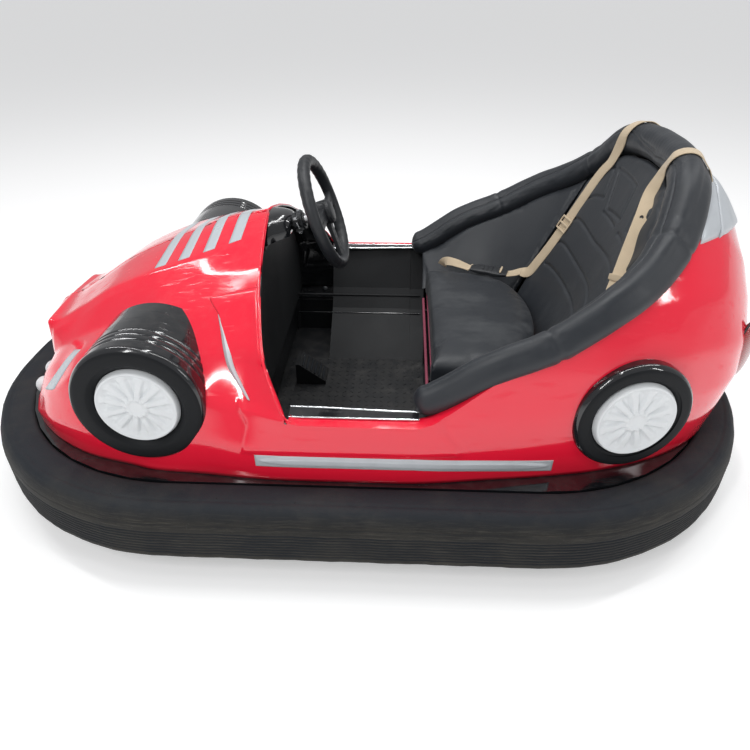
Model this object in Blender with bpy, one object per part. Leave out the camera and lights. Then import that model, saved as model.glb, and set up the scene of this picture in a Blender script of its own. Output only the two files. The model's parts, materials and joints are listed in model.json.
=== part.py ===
# Fairground bumper car: a moulded roadster body on a ring tyre, driven and steered by one front wheel.
# Metres. +X is the nose, +Y the driver's left, +Z up; the origin is on the floor under the middle.
import math

import bmesh
import bpy
import numpy as np
from mathutils import Matrix, Vector

# Whole car
CAR_LENGTH = 1.95
CAR_WIDTH = 1.18
NOSE_FLAT_HALF = 0.02
GAP = 0.0003
RUNNING_GAP = 0.0006
OVERRUN = 0.05

# Ring tyre and the steel rim that holds it
TYRE_CLEARANCE = 0.068
TYRE_HEIGHT = 0.147
TYRE_WIDTH = 0.090
RIM_WALL = 0.008
RIM_DROP = 0.016
CORNER_STEPS = 9

# Deck and the pan that hangs in it
DECK_THICKNESS = 0.008
PAN_FRONT_SHARE = 0.31377
PAN_BACK_SHARE = 0.65574
PAN_SIDE_ROOM = 0.041
PAN_FLOOR = 0.092
PAN_WALL = 0.004
PAN_LIP = 0.018
TREAD_PLATE_THICKNESS = 0.004
WELL_HALF_WIDTH = 0.200

# Body shell
BODY_SIDE_SETBACK = 0.010
BODY_NOSE_SETBACK = 0.050
BODY_TAIL_OVERHANG = 0.030
BODY_HEIGHT = 0.600
BODY_WALL = 0.006
SILL_WIDTH = 0.032
DASH_RIM = 0.022
BODY_STATIONS = 34

# Cockpit lining and dash
LINER_WALL = 0.004
LINER_BACK_SHARE = 0.18798
TRIM_HEIGHT = 0.004
TRIM_WIDTH = 0.026
DASH_SHARE = 0.29461
DASH_THICKNESS = 0.005

# Seat
SEAT_FRONT_SHARE = 0.18579
SEAT_BACK_FOOT_SHARE = 0.49727
SEAT_HALF_WIDTH = 0.275
TUB_FRONT_SHARE = 0.16393
TUB_WALL = 0.022
TUB_SEAM = 0.0006
RIM_FRONT_SHARE = 0.13989
RIM_BACK_SHARE = 0.76503
RIM_SIDE_ROOM = 0.065
RIM_STEPS = 36
RIM_PROBES = 9
RIM_LIFT = 0.002
SEAT_BASE_TOP = 0.285
SEAT_BASE_HALF_WIDTH = 0.190
SEAT_BASE_WALL = 0.012
BOARD_THICKNESS = 0.015
CUSHION_THICKNESS = 0.080
BOLSTER_RADIUS = 0.033
STRAP_WIDTH = 0.038
STRAP_THICKNESS = 0.0025
STRAP_LIFT = 0.0023
STRAP_STEPS = 8
BUCKLE_SIZE = (0.075, 0.046, 0.016)
BUCKLE_SHARE = 0.37705
BUCKLE_SIDE = 0.222
BATTERY_ROOM = (0.048, 0.025)
BATTERY_HALF_WIDTH = 0.165
BATTERY_HEIGHT = 0.160

# Dummy road wheels moulded into the body
FRONT_DUMMY_SHARE = 0.53293
FRONT_DUMMY_RISE = 0.1727
FRONT_DUMMY_RADIUS = 0.143
FRONT_DUMMY_INSET = 0.033
FRONT_DUMMY_DEPTH = 0.190
REAR_DUMMY_SHARE = 0.63934
REAR_DUMMY_RISE = 0.1527
REAR_DUMMY_RADIUS = 0.129
REAR_DUMMY_INSET = 0.054
REAR_DUMMY_DEPTH = 0.075
REAR_DUMMY_TURN_DEG = 11.0
DISC_RADIUS = 0.089
DISC_THICKNESS = 0.014
DISC_EDGE_SHARE = 0.93
DISC_SHOULDER_SHARE = 0.60
DISC_FLOOR_SHARE = 0.45
DISC_LOBES = 12
LOBE_REACH_SHARES = (0.30, 0.86)
LOBE_WIDTH_SHARES = (0.31, 0.62)
ROUND_STEPS = 32
TUBE_STEPS = 10

# Lamps and tail fairing
FAIRING_THICKNESS = 0.006
FAIRING_HALF_WIDTH = 0.150
FAIRING_LENGTH = 0.085
FAIRING_STEPS = 16
FAIRING_LIFT = 0.0022
TAIL_LAMP_SHARES = (0.94863, 0.500, 0.3495)
TAIL_LAMP_SIZE = (0.014, 0.034, 0.068)
TAIL_LAMP_TURN_DEG = 48.0
NOSE_LAMP_SHARES = ((0.966, 0.304, 0.091), (0.980, 0.388, 0.052))
NOSE_LAMP_RADIUS = 0.022
LENS_STEPS = 2

# Steering
WHEEL_CENTRE_SHARES = (0.11018, 0.71617)
WHEEL_RADIUS = 0.140
WHEEL_RIM_RADIUS = 0.0145
COLUMN_TILT_DEG = 19.1
HUB_RADIUS = 0.030
HUB_LENGTH = 0.034
SPOKE_WIDTH = 0.034
SPOKE_THICKNESS = 0.008
SHAFT_RADIUS = 0.0110
SHAFT_LENGTH = 0.400
COLUMN_WALL = 0.006
COLUMN_LENGTH = 0.120
COLUMN_SETBACK = 0.052
COLUMN_FLANGE_RADIUS = 0.036
COLUMN_FLANGE_THICKNESS = 0.006

# Front drive unit, which turns with the steering
DRIVE_SHARE = 0.59880
DRIVE_HOLE_RADIUS = 0.150
DRIVE_MOUNT_RADIUS = 0.185
DRIVE_MOUNT_BORE = 0.118
DRIVE_MOUNT_HEIGHT = 0.020
TURNTABLE_RADIUS = 0.150
TURNTABLE_THICKNESS = 0.012
DRIVE_WHEEL_RADIUS = 0.100
DRIVE_WHEEL_WIDTH = 0.056
FORK_GAP = 0.006
FORK_WALL = 0.010
FORK_HALF_LENGTH = 0.046
DRIVE_AXLE_RADIUS = 0.012
MAST_RADIUS = 0.020
MAST_ROOM = 0.024
MOTOR_RADIUS = 0.050
MOTOR_LENGTH = 0.062
MOTOR_STEPS = 24

# Rear running wheels on fixed brackets
REAR_WHEEL_SHARE = 0.75956
REAR_WHEEL_TRACK_HALF = 0.240
REAR_WHEEL_RADIUS = 0.075
REAR_WHEEL_WIDTH = 0.036
REAR_AXLE_RADIUS = 0.008
BRACKET_WALL = 0.006
BRACKET_HALF_LENGTH = 0.040
BRACKET_PLATE = 0.010

# Running wheels: section shares of the radius at the hub's edge, the dish and the tread's edge
WHEEL_DISH_SHARES = (0.42, 0.50, 0.72, 0.78)
WHEEL_DISH_DEPTH_SHARE = 0.60
WHEEL_BEVEL_SHARE = 0.125

# Accelerator pedal
PEDAL_SHARE = 0.19760
PEDAL_SIDE = 0.085
PEDAL_SIZE = (0.110, 0.075)
PEDAL_THICKNESS = 0.010
PEDAL_TILT_DEG = 38.0

# Sizes that follow
HALF_LENGTH = CAR_LENGTH / 2
HALF_WIDTH = CAR_WIDTH / 2
CORNER_RADIUS = HALF_WIDTH - NOSE_FLAT_HALF
TYRE_TOP = TYRE_CLEARANCE + TYRE_HEIGHT
DECK_TOP = TYRE_TOP
DECK_UNDER = DECK_TOP - DECK_THICKNESS
FOOT = DECK_TOP + GAP
BODY_HALF_WIDTH = HALF_WIDTH - TYRE_WIDTH - BODY_SIDE_SETBACK
NOSE_REACH = HALF_LENGTH - TYRE_WIDTH - BODY_NOSE_SETBACK
TAIL_REACH = HALF_LENGTH - TYRE_WIDTH + BODY_TAIL_OVERHANG
PAN_FRONT = PAN_FRONT_SHARE * NOSE_REACH
PAN_BACK = PAN_BACK_SHARE * TAIL_REACH
LINER_BACK = LINER_BACK_SHARE * TAIL_REACH
DASH_PLACE = DASH_SHARE * NOSE_REACH
SEAT_FRONT = SEAT_FRONT_SHARE * TAIL_REACH
SEAT_BACK_FOOT = SEAT_BACK_FOOT_SHARE * TAIL_REACH
TUB_FRONT = TUB_FRONT_SHARE * TAIL_REACH
RIM_FRONT = RIM_FRONT_SHARE * TAIL_REACH
RIM_BACK = RIM_BACK_SHARE * TAIL_REACH
RIM_HALF_WIDTH = BODY_HALF_WIDTH - RIM_SIDE_ROOM
DRIVE_PLACE = DRIVE_SHARE * NOSE_REACH
REAR_WHEEL_PLACE = REAR_WHEEL_SHARE * TAIL_REACH
WHEEL_CENTRE = (WHEEL_CENTRE_SHARES[0] * NOSE_REACH, 0.0, FOOT + WHEEL_CENTRE_SHARES[1] * BODY_HEIGHT)
PAN_TOP = PAN_FLOOR + PAN_WALL
TREAD_TOP = PAN_TOP + GAP + TREAD_PLATE_THICKNESS
COLUMN_TILT = math.radians(COLUMN_TILT_DEG)
COLUMN_AXIS = Vector((math.cos(COLUMN_TILT), 0.0, -math.sin(COLUMN_TILT)))

# Tyre section, anticlockwise from the outer foot.
# Columns: share of the tyre's width inwards, share of its height upwards.
TYRE_SECTION_SHARES = (
    (0.10, 0.00), (0.00, 0.12), (0.00, 0.70), (0.05, 0.86), (0.15, 0.97), (0.26, 1.00),
    (0.92, 1.00), (1.00, 0.94), (1.00, 0.06), (0.92, 0.00),
)

# Body sections from nose to tail.  Columns: place as a share of the reach to the nose or the tail,
# foot half width, then belt, waist, shoulder, lower crease, side of crown and upper crease, each as
# (half-width share, share of the body's height over the deck), and last the height share of the crown.
BODY_SECTION_SHARES = (
    (1.000, 0.300, (0.340, 0.020), (0.345, 0.035), (0.330, 0.043),
     (0.270, 0.046), (0.200, 0.047), (0.100, 0.048), 0.048),
    (0.976, 0.459, (0.475, 0.030), (0.460, 0.045), (0.400, 0.070),
     (0.122, 0.085), (0.112, 0.190), (0.082, 0.290), 0.303),
    (0.958, 0.540, (0.552, 0.038), (0.520, 0.064), (0.440, 0.098),
     (0.255, 0.122), (0.235, 0.216), (0.204, 0.306), 0.318),
    (0.943, 0.590, (0.600, 0.048), (0.558, 0.088), (0.470, 0.130),
     (0.337, 0.150), (0.306, 0.233), (0.290, 0.320), 0.333),
    (0.922, 0.633, (0.640, 0.060), (0.585, 0.120), (0.490, 0.178),
     (0.365, 0.205), (0.325, 0.285), (0.282, 0.323), 0.341),
    (0.838, 0.755, (0.765, 0.091), (0.704, 0.200), (0.571, 0.258),
     (0.418, 0.291), (0.337, 0.350), (0.290, 0.381), 0.408),
    (0.719, 0.863, (0.867, 0.124), (0.776, 0.308), (0.633, 0.358),
     (0.459, 0.375), (0.357, 0.458), (0.310, 0.483), 0.511),
    (0.599, 0.918, (0.908, 0.141), (0.816, 0.308), (0.673, 0.391),
     (0.531, 0.441), (0.378, 0.525), (0.320, 0.555), 0.588),
    (0.527, 0.949, (0.914, 0.141), (0.837, 0.308), (0.704, 0.408),
     (0.551, 0.483), (0.408, 0.546), (0.316, 0.588), 0.629),
    (0.395, 0.967, (0.959, 0.158), (0.918, 0.308), (0.755, 0.424),
     (0.571, 0.516), (0.408, 0.588), (0.276, 0.641), 0.700),
    (0.269, 0.988, (0.996, 0.141), (0.929, 0.283), (0.786, 0.433),
     (0.582, 0.550), (0.408, 0.628), (0.204, 0.691), 0.733),
    (0.156, 0.996, (1.000, 0.141), (0.990, 0.283), (0.918, 0.408),
     (0.755, 0.575), (0.551, 0.708), (0.306, 0.791), 0.825),
    (-0.109, 0.996, (1.000, 0.141), (0.996, 0.283), (0.969, 0.424),
     (0.918, 0.575), (0.816, 0.741), (0.612, 0.891), 0.975),
    (-0.328, 0.955, (0.967, 0.141), (0.959, 0.275), (0.929, 0.424),
     (0.878, 0.608), (0.755, 0.791), (0.510, 0.941), 0.991),
    (-0.546, 0.894, (0.908, 0.141), (0.912, 0.275), (0.888, 0.441),
     (0.816, 0.641), (0.673, 0.825), (0.449, 0.958), 0.999),
    (-0.710, 0.802, (0.816, 0.141), (0.827, 0.275), (0.806, 0.441),
     (0.724, 0.641), (0.592, 0.825), (0.388, 0.950), 0.991),
    (-0.809, 0.704, (0.724, 0.141), (0.739, 0.275), (0.724, 0.441),
     (0.633, 0.624), (0.490, 0.791), (0.316, 0.916), 0.958),
    (-0.896, 0.561, (0.612, 0.141), (0.643, 0.275), (0.622, 0.424),
     (0.510, 0.575), (0.388, 0.700), (0.245, 0.783), 0.808),
    (-0.962, 0.306, (0.408, 0.141), (0.480, 0.275), (0.459, 0.391),
     (0.367, 0.508), (0.265, 0.583), (0.143, 0.624), 0.641),
    (-1.000, 0.082, (0.163, 0.191), (0.224, 0.291), (0.214, 0.375),
     (0.163, 0.424), (0.112, 0.458), (0.061, 0.475), 0.483),
)

# Side view of the cockpit's edge.  Columns: place as a share of the reach, share of the body's height.
COCKPIT_EDGE_SHARES = (
    (0.311, 0.808), (0.277, 0.728), (0.251, 0.570), (0.228, 0.453), (0.180, 0.333), (0.153, 0.270),
    (0.120, 0.261), (-0.145, 0.261), (-0.175, 0.271), (-0.328, 0.416), (-0.451, 0.500), (-0.564, 0.604),
    (-0.656, 0.691), (-0.721, 0.791), (-0.765, 0.908), (-0.814, 0.933), (-0.874, 0.975),
)
BONNET_EDGE_COUNT = 6
OPENING_INSET_SHARE = 0.20
TUB_INSET_SHARE = 0.28
RIM_PLAN_POWER = 4.0
BACK_PANEL_TURNS_DEG = (58.0, 122.0)
STRAP_TURNS_DEG = ((74.0, 59.5), (105.0, 122.0))
STRAP_TOP_SHARE = 0.90
STRAP_LOW_SHARES = (0.45, 0.42)
STRAP_WRAP_DEG = (175.0, -10.0)
EDGE_END_SHARE = -0.815
FAIRING_TAPER_SHARE = 0.35

# Liner section seen from the front.  Columns: share from the well's edge to the sill's edge, share of
# the height from the pan's floor to the sill.
LINER_SECTION_SHARES = ((0.00, 0.00), (0.62, 0.37), (0.78, 0.57), (1.00, 1.00))


# Scene helpers

def clear_scene():
    """Remove what a new scene starts with."""
    for item in list(bpy.data.objects):
        bpy.data.objects.remove(item, do_unlink=True)


def finish_of(name, colour, roughness, metallic=0.0):
    """A material with a Principled shader, made once for each name."""
    material = bpy.data.materials.get(name)
    if material is None:
        material = bpy.data.materials.new(name)
        material.use_nodes = True
        shader = material.node_tree.nodes["Principled BSDF"]
        shader.inputs["Base Color"].default_value = (*colour, 1.0)
        shader.inputs["Roughness"].default_value = roughness
        shader.inputs["Metallic"].default_value = metallic
        material.diffuse_color = (*colour, 1.0)
    return material


def red_gelcoat():
    return finish_of("red_gelcoat", (0.80, 0.018, 0.045), 0.12)


def gloss_black():
    return finish_of("gloss_black", (0.010, 0.011, 0.013), 0.12)


def satin_black():
    return finish_of("satin_black", (0.016, 0.017, 0.019), 0.45)


def tyre_rubber():
    return finish_of("tyre_rubber", (0.030, 0.031, 0.033), 0.75)


def white_plastic():
    return finish_of("white_plastic", (0.86, 0.88, 0.89), 0.35)


def black_vinyl():
    return finish_of("black_vinyl", (0.020, 0.024, 0.030), 0.42)


def silver_trim():
    return finish_of("silver_trim", (0.55, 0.58, 0.60), 0.30, 0.6)


def bare_steel():
    return finish_of("bare_steel", (0.40, 0.41, 0.42), 0.40, 1.0)


def strap_webbing():
    return finish_of("strap_webbing", (0.56, 0.45, 0.31), 0.80)


def new_object(name, vertices, faces, material, smooth=True):
    """A mesh object at the origin, with outward faces and sharp edges over 35 degrees."""
    mesh = bpy.data.meshes.new(name)
    mesh.from_pydata([tuple(point) for point in vertices], [], faces)
    editor = bmesh.new()
    editor.from_mesh(mesh)
    bmesh.ops.remove_doubles(editor, verts=editor.verts, dist=GAP / 30)
    bmesh.ops.recalc_face_normals(editor, faces=editor.faces)
    editor.to_mesh(mesh)
    editor.free()
    if smooth:
        mesh.shade_smooth()
        mesh.set_sharp_from_angle(angle=math.radians(35))
    item = bpy.data.objects.new(name, mesh)
    bpy.context.scene.collection.objects.link(item)
    if material is not None:
        mesh.materials.append(material)
    return item


def as_cutter(item):
    item.hide_render = True
    item.display_type = "WIRE"
    return item


def cut(target, *cutters, operation="DIFFERENCE"):
    """Boolean modifiers on the target, one for each cutter, which are left as hidden guides."""
    for cutter in cutters:
        modifier = target.modifiers.new(cutter.name, "BOOLEAN")
        modifier.operation = operation
        modifier.solver = "EXACT"
        modifier.object = as_cutter(cutter)
    return target


def move_origin(item, place, turn=None):
    """Stand the object's origin at a place, with its shape left where it is."""
    frame = Matrix.Translation(place) @ (turn or Matrix.Identity(4))
    item.data.transform(frame.inverted() @ item.matrix_world)
    item.matrix_world = frame
    return item


# Shape helpers

def bridge(rings, wrap=False):
    """Vertices and faces of a skin over closed rings of equal length, capped unless it wraps round."""
    count = len(rings[0])
    vertices = [point for ring in rings for point in ring]
    spans = len(rings) if wrap else len(rings) - 1
    faces = []
    for row in range(spans):
        here = row * count
        there = ((row + 1) % len(rings)) * count
        for step in range(count):
            after = (step + 1) % count
            faces.append((here + step, here + after, there + after, there + step))
    if not wrap:
        faces.append(tuple(reversed(range(count))))
        faces.append(tuple(range(len(vertices) - count, len(vertices))))
    return vertices, faces


def skin(name, rings, material, wrap=False):
    vertices, faces = bridge(rings, wrap)
    return new_object(name, vertices, faces, material)


def block(name, low, high, material):
    """A straight box between two corners."""
    base = [(low[0], low[1]), (high[0], low[1]), (high[0], high[1]), (low[0], high[1])]
    return prism(name, base, low[2], high[2], material)


def prism(name, outline, low, high, material, axis="Z"):
    """An outline extruded from low to high along an axis."""
    def place(point, height):
        if axis == "X":
            return (height, point[0], point[1])
        if axis == "Y":
            return (point[0], height, point[1])
        return (point[0], point[1], height)
    rings = [[place(point, height) for point in outline] for height in (low, high)]
    return skin(name, rings, material)


def turned(name, profile, place, axis, material, steps=ROUND_STEPS):
    """A profile of (radius, distance along the axis) spun round it; a zero radius closes to a point."""
    side = axis.orthogonal().normalized()
    other = axis.cross(side)
    rings = []
    for radius, along in profile:
        ring = []
        for step in range(steps):
            angle = 2 * math.pi * step / steps
            spoke = side * math.cos(angle) + other * math.sin(angle)
            ring.append(Vector(place) + axis * along + spoke * radius)
        rings.append(ring)
    closed = profile[0] == profile[-1]
    if closed:
        rings.pop()
    return skin(name, rings, material, wrap=closed)


def rod(name, place, axis, length, radius, material, steps=20):
    return turned(name, [(radius, 0.0), (radius, length)], place, axis, material, steps)


def sweep(name, path, section, material, up=Vector((0.0, 0.0, 1.0)), wrap=False):
    """A closed section of (sideways, upwards) offsets carried along a path of points."""
    points = [Vector(point) for point in path]
    last = len(points) - 1
    rings = []
    for index, point in enumerate(points):
        before = points[index - 1] if index > 0 or wrap else point
        after = points[(index + 1) % len(points)] if index < last or wrap else point
        along = (after - before).normalized()
        sideways = along.cross(up).normalized()
        upwards = sideways.cross(along)
        rings.append([point + sideways * offset[0] + upwards * offset[1] for offset in section])
    return skin(name, rings, material, wrap)


def circle_section(radius, steps):
    angles = [2 * math.pi * step / steps for step in range(steps)]
    return [(radius * math.cos(angle), radius * math.sin(angle)) for angle in angles]


def rounded_box(half_length, half_width, radius, steps=CORNER_STEPS, centre=0.0):
    """Plan outline of a rectangle with round corners, anticlockwise."""
    outline = []
    for turn, (along, across) in enumerate(((1, 1), (-1, 1), (-1, -1), (1, -1))):
        for step in range(steps + 1):
            angle = math.pi / 2 * (turn + step / steps)
            outline.append((
                centre + along * (half_length - radius) + radius * math.cos(angle),
                across * (half_width - radius) + radius * math.sin(angle),
            ))
    return outline


def ring_outline(inset):
    """The car's outline, moved inwards."""
    return rounded_box(HALF_LENGTH - inset, HALF_WIDTH - inset, CORNER_RADIUS - inset)


def ring_sweep(name, section, material):
    """A closed section of (inset, height) carried round the car's outline."""
    rings = [[(x, y, height) for x, y in ring_outline(inset)] for inset, height in section]
    return skin(name, rings, material, wrap=True)


def smooth_through(places, values, at):
    """Value on a cubic curve that passes through the points and never overshoots them."""
    places = np.asarray(places, dtype=float)
    values = np.asarray(values, dtype=float)
    steps = np.diff(places)
    slopes = np.diff(values) / steps
    tangents = np.zeros(len(places))
    tangents[0] = slopes[0]
    tangents[-1] = slopes[-1]
    same_way = slopes[:-1] * slopes[1:] > 0
    total = np.where(same_way, slopes[:-1] + slopes[1:], 1.0)
    tangents[1:-1] = np.where(same_way, 2 * slopes[:-1] * slopes[1:] / total, 0.0)
    index = int(np.clip(np.searchsorted(places, at) - 1, 0, len(steps) - 1))
    share = min(max((at - places[index]) / steps[index], 0.0), 1.0)
    rise = share * share * (3 - 2 * share)
    leave = share * (1 - share) * (1 - share)
    arrive = share * share * (share - 1)
    return float(values[index] * (1 - rise) + values[index + 1] * rise
                 + steps[index] * (tangents[index] * leave + tangents[index + 1] * arrive))


def reach_place(share):
    """Place along the car for a share of the body's reach."""
    return share * (NOSE_REACH if share > 0 else TAIL_REACH)


def level(share):
    """Height over the floor for a share of the body's height."""
    return FOOT + share * BODY_HEIGHT


def mirrored(points):
    """Points (x, y, z) with the opposite sign of y."""
    return [(x, -y, z) for x, y, z in points]


# Body surface

STATION_PLACES = [reach_place(row[0]) for row in reversed(BODY_SECTION_SHARES)]
EDGE_PLACES = [reach_place(row[0]) for row in reversed(COCKPIT_EDGE_SHARES)]
EDGE_LEVELS = [level(row[1]) for row in reversed(COCKPIT_EDGE_SHARES)]
LID_FRONT = reach_place(COCKPIT_EDGE_SHARES[BONNET_EDGE_COUNT - 1][0])
LID_STEP = BODY_WALL / 4


def full_section(place):
    """Half section of the uncut body: (half width, height) from the foot to the crown."""
    def column(pick):
        return smooth_through(STATION_PLACES, [pick(row) for row in reversed(BODY_SECTION_SHARES)], place)
    points = [(BODY_HALF_WIDTH * column(lambda row: row[1]), FOOT)]
    for corner in range(2, 8):
        width = BODY_HALF_WIDTH * column(lambda row: row[corner][0])
        height = level(column(lambda row: row[corner][1]))
        points.append((width, height))
    points.append((0.0, level(column(lambda row: row[8]))))
    return points


def edge_level(place):
    """Height of the lid over the seat and the sills, and a height over everything away from it."""
    if place > LID_FRONT or place < EDGE_PLACES[0]:
        return level(1) + OVERRUN
    return smooth_through(EDGE_PLACES, EDGE_LEVELS, place)


def moved_out(section, distance):
    """The half section moved outwards by a distance, or inwards if it is negative."""
    moved = []
    last = len(section) - 1
    for index, point in enumerate(section):
        before = section[max(index - 1, 0)]
        after = section[index + 1] if index < last else (-section[index - 1][0], section[index - 1][1])
        run = Vector((after[0] - before[0], after[1] - before[1]))
        run.normalize()
        moved.append((max(point[0] + run.y * distance, 0.0), point[1] - run.x * distance))
    moved[0] = (max(section[0][0] + distance, 0.0), section[0][1])
    moved[-1] = (0.0, section[-1][1] + distance)
    return moved


def body_places():
    """Places of the cross sections, the same for every surface offset from the body."""
    wanted = set(STATION_PLACES + EDGE_PLACES + [DASH_PLACE, DASH_PLACE + DASH_THICKNESS])
    for step in range(BODY_STATIONS + 1):
        wanted.add(-TAIL_REACH + (NOSE_REACH + TAIL_REACH) * step / BODY_STATIONS)
    least = (NOSE_REACH + TAIL_REACH) / BODY_STATIONS / 3
    sill_ends = EDGE_PLACES[-BONNET_EDGE_COUNT - 2:-BONNET_EDGE_COUNT]
    places = [LID_FRONT, LID_FRONT + LID_STEP, DASH_PLACE, DASH_PLACE + DASH_THICKNESS] + sill_ends
    for place in sorted(wanted):
        if all(abs(place - other) > least for other in places):
            places.append(place)
    places += [place for place in (-TAIL_REACH, NOSE_REACH) if place not in places]
    return sorted(places)


def body_ring(place, offset=0.0, open_foot=False):
    """Closed cross section of the body, moved out or in by an offset, as points in space."""
    half = moved_out(full_section(place), offset)
    edge = edge_level(place)
    if offset < 0 and place <= LID_FRONT:
        edge = min(edge_level(place + side * offset) for side in (-1, 0, 1))
    half = [(width, min(height, edge + offset)) for width, height in half]
    if open_foot:
        half.insert(0, (half[0][0], FOOT - OVERRUN))
    middle = place * (1 + offset / (NOSE_REACH if place > 0 else TAIL_REACH))
    if abs(place - DASH_PLACE) <= DASH_THICKNESS:
        middle = place
    if offset < 0 and place in (LID_FRONT, LID_FRONT + LID_STEP):
        middle = place - offset
    left = [(middle, width, height) for width, height in half]
    return mirrored(left[:-1]) + list(reversed(left))


def body_skin(name, offset=0.0, open_foot=False, material=None):
    """The body's outer surface, moved by an offset, as a closed solid of triangles."""
    item = skin(name, [body_ring(place, offset, open_foot) for place in body_places()], material)
    editor = bmesh.new()
    editor.from_mesh(item.data)
    bmesh.ops.triangulate(editor, faces=editor.faces, quad_method="FIXED")
    editor.to_mesh(item.data)
    editor.free()
    return item


def half_width_at(place, height):
    """Half width of the uncut body at a height."""
    section = full_section(place)
    for below, above in zip(section, section[1:]):
        if below[1] <= height <= above[1] and above[1] > below[1]:
            share = (height - below[1]) / (above[1] - below[1])
            return below[0] + share * (above[0] - below[0])
    return 0.0


def sill_edge(place):
    """Half width of the opening along the sills."""
    return half_width_at(place, edge_level(place)) - SILL_WIDTH


def pan_half_width():
    """Half width of the pan, clear of the linings that slope down into it."""
    return WELL_HALF_WIDTH + LINER_SECTION_SHARES[1][0] * (sill_edge(0.0) - WELL_HALF_WIDTH) + PAN_SIDE_ROOM


# Rolled rim of the seat, in plan a curve between an ellipse and a rectangle

def plan_curve(front, back, half_width, turn, inset=0.0):
    """Point and inward direction on the seat's plan curve; turn runs from 0 on the left to pi."""
    def point(angle):
        along = max(math.sin(angle), 0.0)
        across = math.copysign(math.sqrt(max(1 - along ** RIM_PLAN_POWER, 0.0)), math.cos(angle))
        return Vector((-front - (back - front) * along, half_width * across, 0.0))
    small = math.radians(1)
    before = point(max(turn - small, 0.0))
    after = point(min(turn + small, math.pi))
    along = (after - before).normalized()
    inward = Vector((-along.y, along.x, 0.0))
    return point(turn) + inward * inset, inward


def rim_centre(turn):
    """Centre of the rolled rim: the height at which the roll rests on the body's sloping edge."""
    flat = plan_curve(RIM_FRONT, RIM_BACK, RIM_HALF_WIDTH, turn)[0]
    rests = []
    for step in range(-RIM_PROBES, RIM_PROBES + 1):
        ahead = BOLSTER_RADIUS * step / (RIM_PROBES + 1)
        rests.append(edge_level(flat.x + ahead) + math.sqrt(BOLSTER_RADIUS ** 2 - ahead ** 2))
    return Vector((flat.x, flat.y, max(rests) + RIM_LIFT))


def rim_point(turn):
    """Centre of the rolled rim, the level direction to the sitter and the upward one across the roll."""
    small = math.radians(1)
    along = (rim_centre(min(turn + small, math.pi)) - rim_centre(max(turn - small, 0.0))).normalized()
    inward = Vector((-along.y, along.x, 0.0)).normalized()
    raised = along.cross(inward)
    return rim_centre(turn), inward, raised


def tub_point(turn, rise, depth=0.0):
    """Point on the tub's inner face, at a share of its height, and moved towards the sitter."""
    top, inward, raised = rim_point(turn)
    top += inward * (BOLSTER_RADIUS * TUB_INSET_SHARE + TUB_WALL) - raised * (BOLSTER_RADIUS + TUB_SEAM)
    foot = plan_curve(TUB_FRONT, SEAT_BACK_FOOT + TUB_SEAM, SEAT_HALF_WIDTH + TUB_SEAM, turn)[0]
    foot.z = SEAT_BASE_TOP + BOARD_THICKNESS + 3 * GAP
    return foot + (top - foot) * rise + inward * depth


# Ring tyre, rim, deck and pan

def make_tyre():
    section = [(TYRE_WIDTH * inwards, TYRE_CLEARANCE + TYRE_HEIGHT * upwards)
               for inwards, upwards in TYRE_SECTION_SHARES]
    ring_sweep("bumper_tyre", section, tyre_rubber())


def make_rim():
    outer = TYRE_WIDTH + GAP
    low = TYRE_CLEARANCE + RIM_DROP
    high = DECK_UNDER - GAP
    section = [(outer, low), (outer, high), (outer + RIM_WALL, high), (outer + RIM_WALL, low)]
    ring_sweep("bumper_rim", section, satin_black())


def make_deck():
    deck = prism("chassis_deck", ring_outline(TYRE_WIDTH + GAP), DECK_UNDER, DECK_TOP, gloss_black())
    middle = (PAN_FRONT - PAN_BACK) / 2
    half = (PAN_FRONT + PAN_BACK) / 2
    well = rounded_box(half, pan_half_width(), PAN_LIP, 2, middle)
    low = DECK_UNDER - OVERRUN
    high = DECK_TOP + OVERRUN
    well_cut = prism("deck_well_cut", well, low, high, None)
    place = Vector((DRIVE_PLACE, 0.0, low))
    hole = rod("deck_drive_cut", place, Vector((0, 0, 1)), high - low, DRIVE_HOLE_RADIUS, None, ROUND_STEPS)
    cut(deck, well_cut, hole)


def make_pan():
    """A pressed pan with a lip that hangs under the deck's opening."""
    middle = (PAN_FRONT - PAN_BACK) / 2
    half = (PAN_FRONT + PAN_BACK) / 2
    lip_top = DECK_UNDER - GAP
    lip_low = lip_top - PAN_WALL

    half_width = pan_half_width()

    def outline(spread):
        return rounded_box(half + spread, half_width + spread, PAN_LIP + spread, 2, middle)

    profile = (
        (0.0, PAN_FLOOR), (0.0, lip_low), (PAN_LIP, lip_low), (PAN_LIP, lip_top),
        (-PAN_WALL, lip_top), (-PAN_WALL, PAN_TOP),
    )
    rings = [[(x, y, height) for x, y in outline(spread)] for spread, height in profile]
    skin("floor_pan", rings, satin_black())
    low = (-SEAT_FRONT + GAP, -WELL_HALF_WIDTH + LINER_WALL, PAN_TOP + GAP)
    high = (PAN_FRONT - PAN_WALL - GAP, WELL_HALF_WIDTH - LINER_WALL, TREAD_TOP)
    block("floor_plate", low, high, bare_steel())


# Body shell with its cockpit, dash and wheel pockets

def cockpit_cut():
    """The lid over the seat well, inside the sills and the rolled rim, cut straight down."""
    front = LID_FRONT + LID_STEP + BODY_WALL + GAP
    left = [(front, sill_edge(0.0)), (-RIM_FRONT, sill_edge(0.0))]
    inset = BOLSTER_RADIUS * OPENING_INSET_SHARE
    for step in range(RIM_STEPS + 1):
        flat = plan_curve(RIM_FRONT, RIM_BACK, RIM_HALF_WIDTH, math.pi * step / RIM_STEPS, inset)[0]
        left.append((min(flat.x, -RIM_FRONT - GAP), flat.y))
    outline = left + [(-RIM_FRONT, -sill_edge(0.0)), (front, -sill_edge(0.0))]
    low = edge_level(0.0) - OVERRUN
    return prism("body_cockpit_cut", outline, low, level(1) + OVERRUN, None)


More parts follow.
